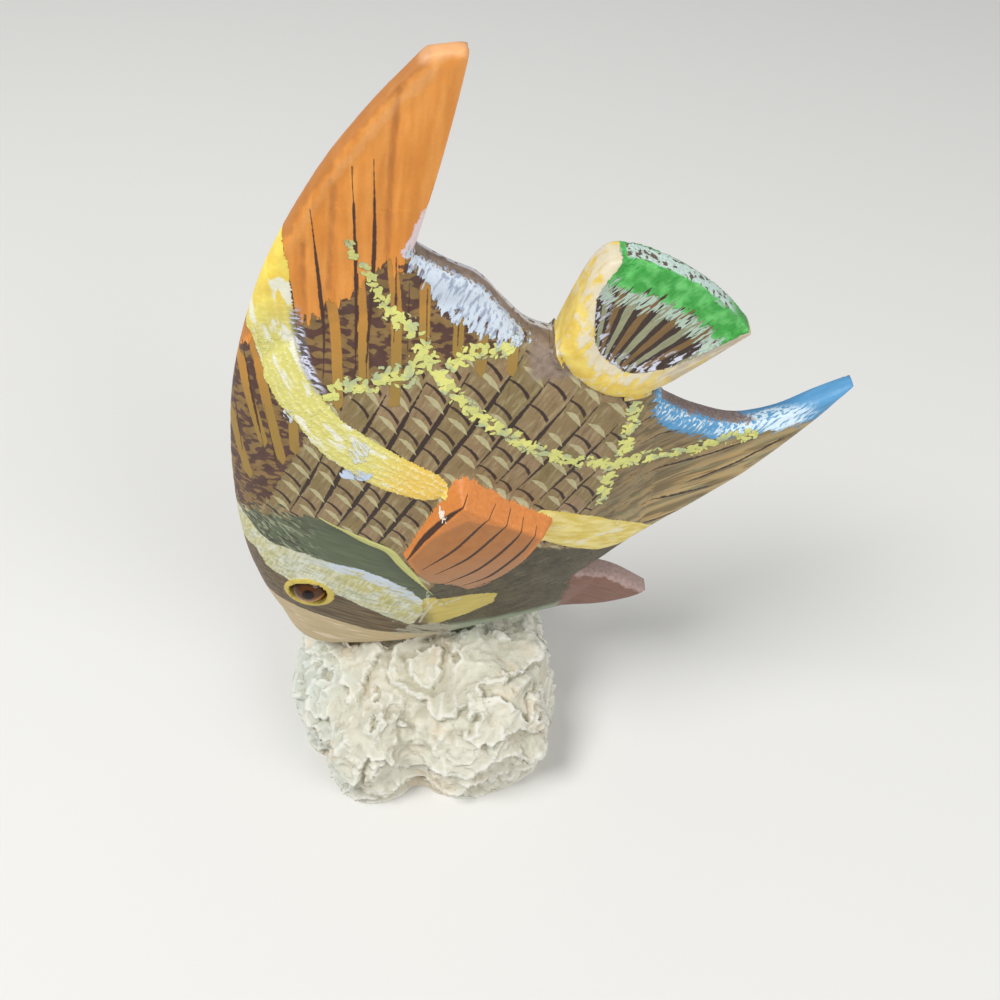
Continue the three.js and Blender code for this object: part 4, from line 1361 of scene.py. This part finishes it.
def paint_tail_rim(coat):
    """The brown line round the tail's root and the rubbed trailing edge."""
    root = coat.ragged(-0.26 - coat.field("tail_outline"), 0.05, 0.04)
    coat.lay(root, (122, 104, 78))
    away = coat.math("ABSOLUTE", coat.y) + coat.broad * 0.8
    rim = coat.ramp("tail_end", 0.6, 0.35) * coat.step(away, 1.25, 0.9)
    rim = rim * coat.step(coat.x - coat.z * 0.5 + coat.broad * 2.0, -2, -5)
    left = coat.step(coat.x, 28, 23)
    speckle = coat.step(coat.noise(coat.spot, 0.6, 3.0) - left * 0.06, 0.39, 0.45)
    coat.lay(rim, coat.mix(speckle, (100, 84, 70), (194, 216, 206)), 0.05)


def paint_pectoral_fin(coat):
    """Orange with dark grooves and, on the side on show, a white chip at the upper corner."""
    paint_pectoral_orange(coat, 1.0)
    groove = coat.strokes("pectoral", 0.17, 5.0, 0.08)
    crease = coat.ramp("pectoral_count", 0.5, 0.4)
    crease = crease * coat.ramp("fin_edge", -0.3, -0.1)
    groove = coat.math("MAXIMUM", groove, coat.strokes("pectoral", 0.24, 9.0, 0.08) * crease)
    coat.lay(groove, (64, 36, 22), -0.12)
    chip = coat.blot(4.7, 50.6, 0.42, 0.5, 5.0) * coat.step(coat.y, 0.0, -1)
    coat.lay(chip, (232, 222, 204), 0.05)


def coated_finish(groups, name, layers):
    """Painted wood: layers one over another, and the unevenness of a coat put on by hand."""
    finish, paint, shader = new_finish(name)
    coat = Coat(paint.tree, groups)
    for layer in layers:
        layer(coat)
    done = coat.use(groups["hand paint"], {"Colour": coat.colour, "Thickness": coat.thickness})
    coat.feed(shader.inputs["Base Color"], done["Colour"])
    coat.feed(shader.inputs["Roughness"], done["Roughness"])
    raise_surface(coat, shader, done["Height"])
    return finish


def fish_finishes(groups):
    """The finishes in the order that sort_fish_faces gives; parts that meet share layers at their border."""
    upper = [
        paint_scales, paint_brick, paint_rays, paint_orange, paint_dabs, paint_back, paint_pectoral_root,
        paint_body_bar, paint_body_bar_edge]
    head = [
        paint_scales, paint_brick, paint_rays, paint_underside, paint_cheek, paint_snout, paint_head_bar,
        paint_face_details, paint_pectoral_root]
    rear = [
        paint_scales, paint_anal_fin, paint_underside, paint_dabs, paint_rear_bar, paint_pectoral_root]
    tail = [paint_tail_border, paint_tail_face, paint_tail_rim]
    return [
        coated_finish(groups, "painted_upper_flank", upper),
        coated_finish(groups, "painted_head", head),
        coated_finish(groups, "painted_rear_flank", rear),
        coated_finish(groups, "painted_tail", tail),
        coated_finish(groups, "painted_pectoral_fin", [paint_pectoral_fin])]


# Eyes.

def glass_eye_finish():
    """Amber glass with a dark pupil that looks out sideways from the fish, and lighter amber low in the iris
    as a painted highlight.
    """
    finish, paint, shader = new_finish("amber_eye_glass")
    place = paint.place()
    from_z, radius = paint.from_eye(place, 0.1, 0.6)
    iris = paint.mix(paint.step(radius, 0.7, 1.9), (84, 46, 14), (54, 30, 14))
    # Painted highlight: lighter amber low in the iris, where light would shine through the glass.
    iris = paint.mix(paint.step(from_z, -0.3, -1.4) * 0.8, iris, (172, 104, 34))
    fleck = paint.noise(place, 0.35, 2.0)
    iris = paint.mix(paint.step(fleck, 0.5, 0.7) * 0.4, iris, (60, 34, 18))
    pupil = paint.step(radius + (fleck - 0.5) * 0.15, 0.85, 0.65)
    paint.feed(shader.inputs["Base Color"], paint.mix(pupil, iris, (22, 10, 4)))
    paint.feed(shader.inputs["Roughness"], 0.06 + 0.05 * fleck)
    shader.inputs["Specular IOR Level"].default_value = 0.2
    shader.inputs["Coat Weight"].default_value = 0.25
    shader.inputs["Coat Roughness"].default_value = 0.03
    return finish


def make_eye(name, node, finish):
    """A glass bead with a bulging front, flattened where it is seated in the wood."""
    lowest, highest = (Vector(corner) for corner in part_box(node))
    centre = (lowest + highest) / 2
    bpy.ops.object.select_all(action="DESELECT")
    bpy.ops.mesh.primitive_uv_sphere_add(
        segments=EYE_SEGMENTS, ring_count=EYE_RINGS, radius=EYE_RADIUS, location=centre,
        rotation=(math.pi / 2, 0, 0))
    piece = bpy.context.object
    piece.name = name
    piece.data.name = name
    only(piece)
    bpy.ops.object.transform_apply(location=True, rotation=True, scale=True)
    places = read_places(piece.data)
    inward = -1 if centre.y > 0 else 1
    depth = (places[:, 1] - centre.y) * inward
    seated = EYE_SEAT_DEPTH + EYE_SEAT_SHARE * (depth - EYE_SEAT_DEPTH)
    depth = np.where(depth > EYE_SEAT_DEPTH, seated, depth)
    places[:, 1] = centre.y + inward * depth
    write_places(piece.data, places)
    bpy.ops.object.shade_smooth()
    piece.data.materials.clear()
    piece.data.materials.append(finish)
    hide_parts(node)
    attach(piece, "root")
    return piece


# The coral.

def coral_finish():
    """Chalky cream coral, cooler to one side and peach-coloured in places, with painted shade in its hollows
    and under its lips and painted highlights on its crests and lips.
    """
    finish, paint, shader = new_finish("chalky_coral")
    place = paint.place()
    x, y, z = paint.parts(place)
    broad = paint.noise(place, 7.0, 2.0)
    middle = paint.noise(place, 2.4, 3.0)
    fine = paint.noise(place, 0.45, 3.0)
    colour = paint.mix(paint.step(broad, 0.35, 0.65), (200, 197, 180), (212, 209, 192))
    colour = paint.mix(paint.step(middle, 0.52, 0.68) * 0.6, colour, (202, 202, 184))
    cool = paint.step(x + broad * 16, 0.0, -8)
    colour = paint.mix(cool * 0.6, colour, (200, 210, 203))
    low = paint.step(z, 9, 2)
    peach = paint.step(paint.noise(place, 5.2, 2.0) + low * 0.08, 0.54, 0.72)
    colour = paint.mix(peach * 0.6, colour, (213, 194, 166))
    level = z / 9.0 + paint.noise(place, 6.5, 5.0) * 3.6
    climb = paint.math("FRACT", level)
    lip = paint.step(climb, 0.84, 0.96)
    # Painted shadow on the cliff under each lip, and a painted highlight along the lip itself.
    shade = paint.step(climb, 0.6, 0.92) * paint.step(climb, 0.99, 0.93)
    colour = paint.mix(shade * 0.3, colour, (180, 172, 150))
    colour = paint.mix(paint.step(climb, 0.12, 0.0) * 0.4, colour, (230, 231, 223))
    pores = paint.step(paint.cells(place, 0.8), 0.16, 0.08) * paint.step(middle, 0.45, 0.6)
    colour = paint.mix(pores * 0.35, colour, (150, 142, 122))
    # Painted shade in the hollows and painted highlights on the crests.
    hollow = paint.field("hollow")
    colour = paint.mix(paint.step(hollow, 0.03, 0.3) * 0.6, colour, (180, 174, 152))
    colour = paint.mix(paint.step(hollow, -0.06, -0.3) * 0.55, colour, (232, 231, 221))
    paint.feed(shader.inputs["Base Color"], colour)
    paint.feed(shader.inputs["Roughness"], 0.72 + 0.2 * fine)
    sheets = (lip - climb) * 0.13
    raise_surface(paint, shader, fine * 0.12 + middle * 0.16 - pores * 0.08 + sheets)
    return finish


def ledges(climb, rise, cliff):
    """How far sheets stand out that flare outwards as they go down and end in a raised lip over a cliff."""
    level = climb / rise
    part = level - np.floor(level)
    lip = np.exp(-part / 0.07)
    return (smooth_step(part, 1 - cliff, 1) - part) * rise + 0.2 * rise * lip


def folded(places, size):
    """Noise from 0 to 1 with sharp crests where smooth noise would pass through zero."""
    return 1 - np.abs(lumps(places, size))


def drift(places, shifts, size, reach):
    """Sideways drift of each place by smooth noise."""
    return np.column_stack([lumps(places + shift * MM, size) for shift in shifts]) * reach


def grow_coral(places):
    """How far the coral's skin grows out of the solid at each place."""
    warp = drift(places, *WARP)
    fray = drift(places, *FRAY) + drift(places, *FINE_FRAY)
    frilled = places + warp + fray
    climb = 0.27 * places[:, 2] + 1.5 * MM * lumps(frilled, 5.5 * MM)
    climb += 0.6 * MM * lumps(frilled + 9 * MM, 2.7 * MM)
    frills = 0.12 * places[:, 2] + 0.8 * MM * lumps(frilled + 20 * MM, 2.1 * MM)
    sheets = ledges(climb, SHEET_RISE, SHEET_CLIFF) + FRILL_SHARE * ledges(frills, FRILL_RISE, FRILL_CLIFF)
    knobs = KNOB_HEIGHT * lumps(places + warp, KNOB_SIZE)
    knobs += FOLD_HEIGHT * folded(places + warp, FOLD_SIZE) ** 3
    crumbs = CRUMB_HEIGHT * lumps(places + fray, CRUMB_SIZE) + GRIT_HEIGHT * lumps(places, GRIT_SIZE)
    return sheets + knobs + crumbs + CORAL_SWELL


def hollow_depths(mesh, places):
    """How deep each point lies below the mean of its surroundings; crests come out negative."""
    mean = places
    for turn in range(HOLLOW_ROUNDS):
        mean = neighbour_means(mesh, mean)
    return ((mean - places) * read_normals(mesh)).sum(axis=1)


def make_coral(node, finish):
    """The coral lump, grown over with knobs, ledges and thin lips, and flat underneath."""
    piece = copy_of_node(node, "coral_lump")
    even_skin(piece, CORAL_GRAIN, 2)
    mesh = piece.data
    lowest, highest = (np.array(corner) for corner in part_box("coral_base"))
    start = read_places(mesh)
    free = smooth_step(start[:, 2], 0.1 * MM, 1.4 * MM)
    places = start + read_normals(mesh) * (grow_coral(start) * free)[:, None]
    places = np.clip(places, lowest, highest)
    places[start[:, 2] < 0.02 * MM, 2] = 0
    write_places(mesh, places)
    record_length(mesh, "hollow", hollow_depths(mesh, places))
    piece.data.materials.append(finish)
    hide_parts("coral_base")
    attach(piece, "root")
    return piece


# Stage, light and camera.

def make_floor():
    bpy.ops.mesh.primitive_plane_add(size=FLOOR_SIZE, location=(0, 0, 0))
    floor = bpy.context.object
    floor.name = "studio_floor"
    finish, paint, shader = new_finish("pale_floor")
    paint.feed(shader.inputs["Base Color"], (222, 221, 217))
    paint.feed(shader.inputs["Roughness"], 0.8)
    floor.data.materials.append(finish)


def add_softbox(name, place, size, power):
    light = bpy.data.lights.new(name, "AREA")
    light.shape = "DISK"
    light.size = size
    light.energy = power
    softbox = bpy.data.objects.new(name, light)
    softbox.location = place
    softbox.rotation_euler = (Vector(LIT_PLACE) - Vector(place)).to_track_quat("-Z", "Y").to_euler()
    bpy.context.scene.collection.objects.link(softbox)


def light_studio():
    world = bpy.data.worlds.new("studio")
    world.use_nodes = True
    background = world.node_tree.nodes["Background"]
    background.inputs["Color"].default_value = ROOM_COLOUR
    background.inputs["Strength"].default_value = ROOM_STRENGTH
    bpy.context.scene.world = world
    bpy.context.scene.view_settings.view_transform = "Standard"
    for softbox in SOFTBOXES:
        add_softbox(*softbox)


def place_camera():
    camera = bpy.data.cameras.new("camera")
    camera.lens = CAMERA_LENS
    camera.sensor_width = CAMERA_SENSOR
    camera.clip_start = 5 * MM
    stand = bpy.data.objects.new("camera", camera)
    stand.location = CAMERA_PLACE
    stand.rotation_euler = (math.pi / 2 - CAMERA_DOWN, 0, 0)
    bpy.context.scene.collection.objects.link(stand)
    bpy.context.scene.camera = stand


def main():
    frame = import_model()
    nodes = frame["nodes"]
    groups = {group.name: group for group in (
        brush_wobble_group(), brush_streaks_group(), drawn_strokes_group(), hand_paint_group())}
    make_fish(nodes["wooden_fish"], fish_finishes(groups))
    glass = glass_eye_finish()
    make_eye("left_glass_eye", "left_eye", glass)
    make_eye("right_glass_eye", "right_eye", glass)
    make_coral(nodes["coral_base"], coral_finish())
    make_floor()
    light_studio()
    place_camera()


main()
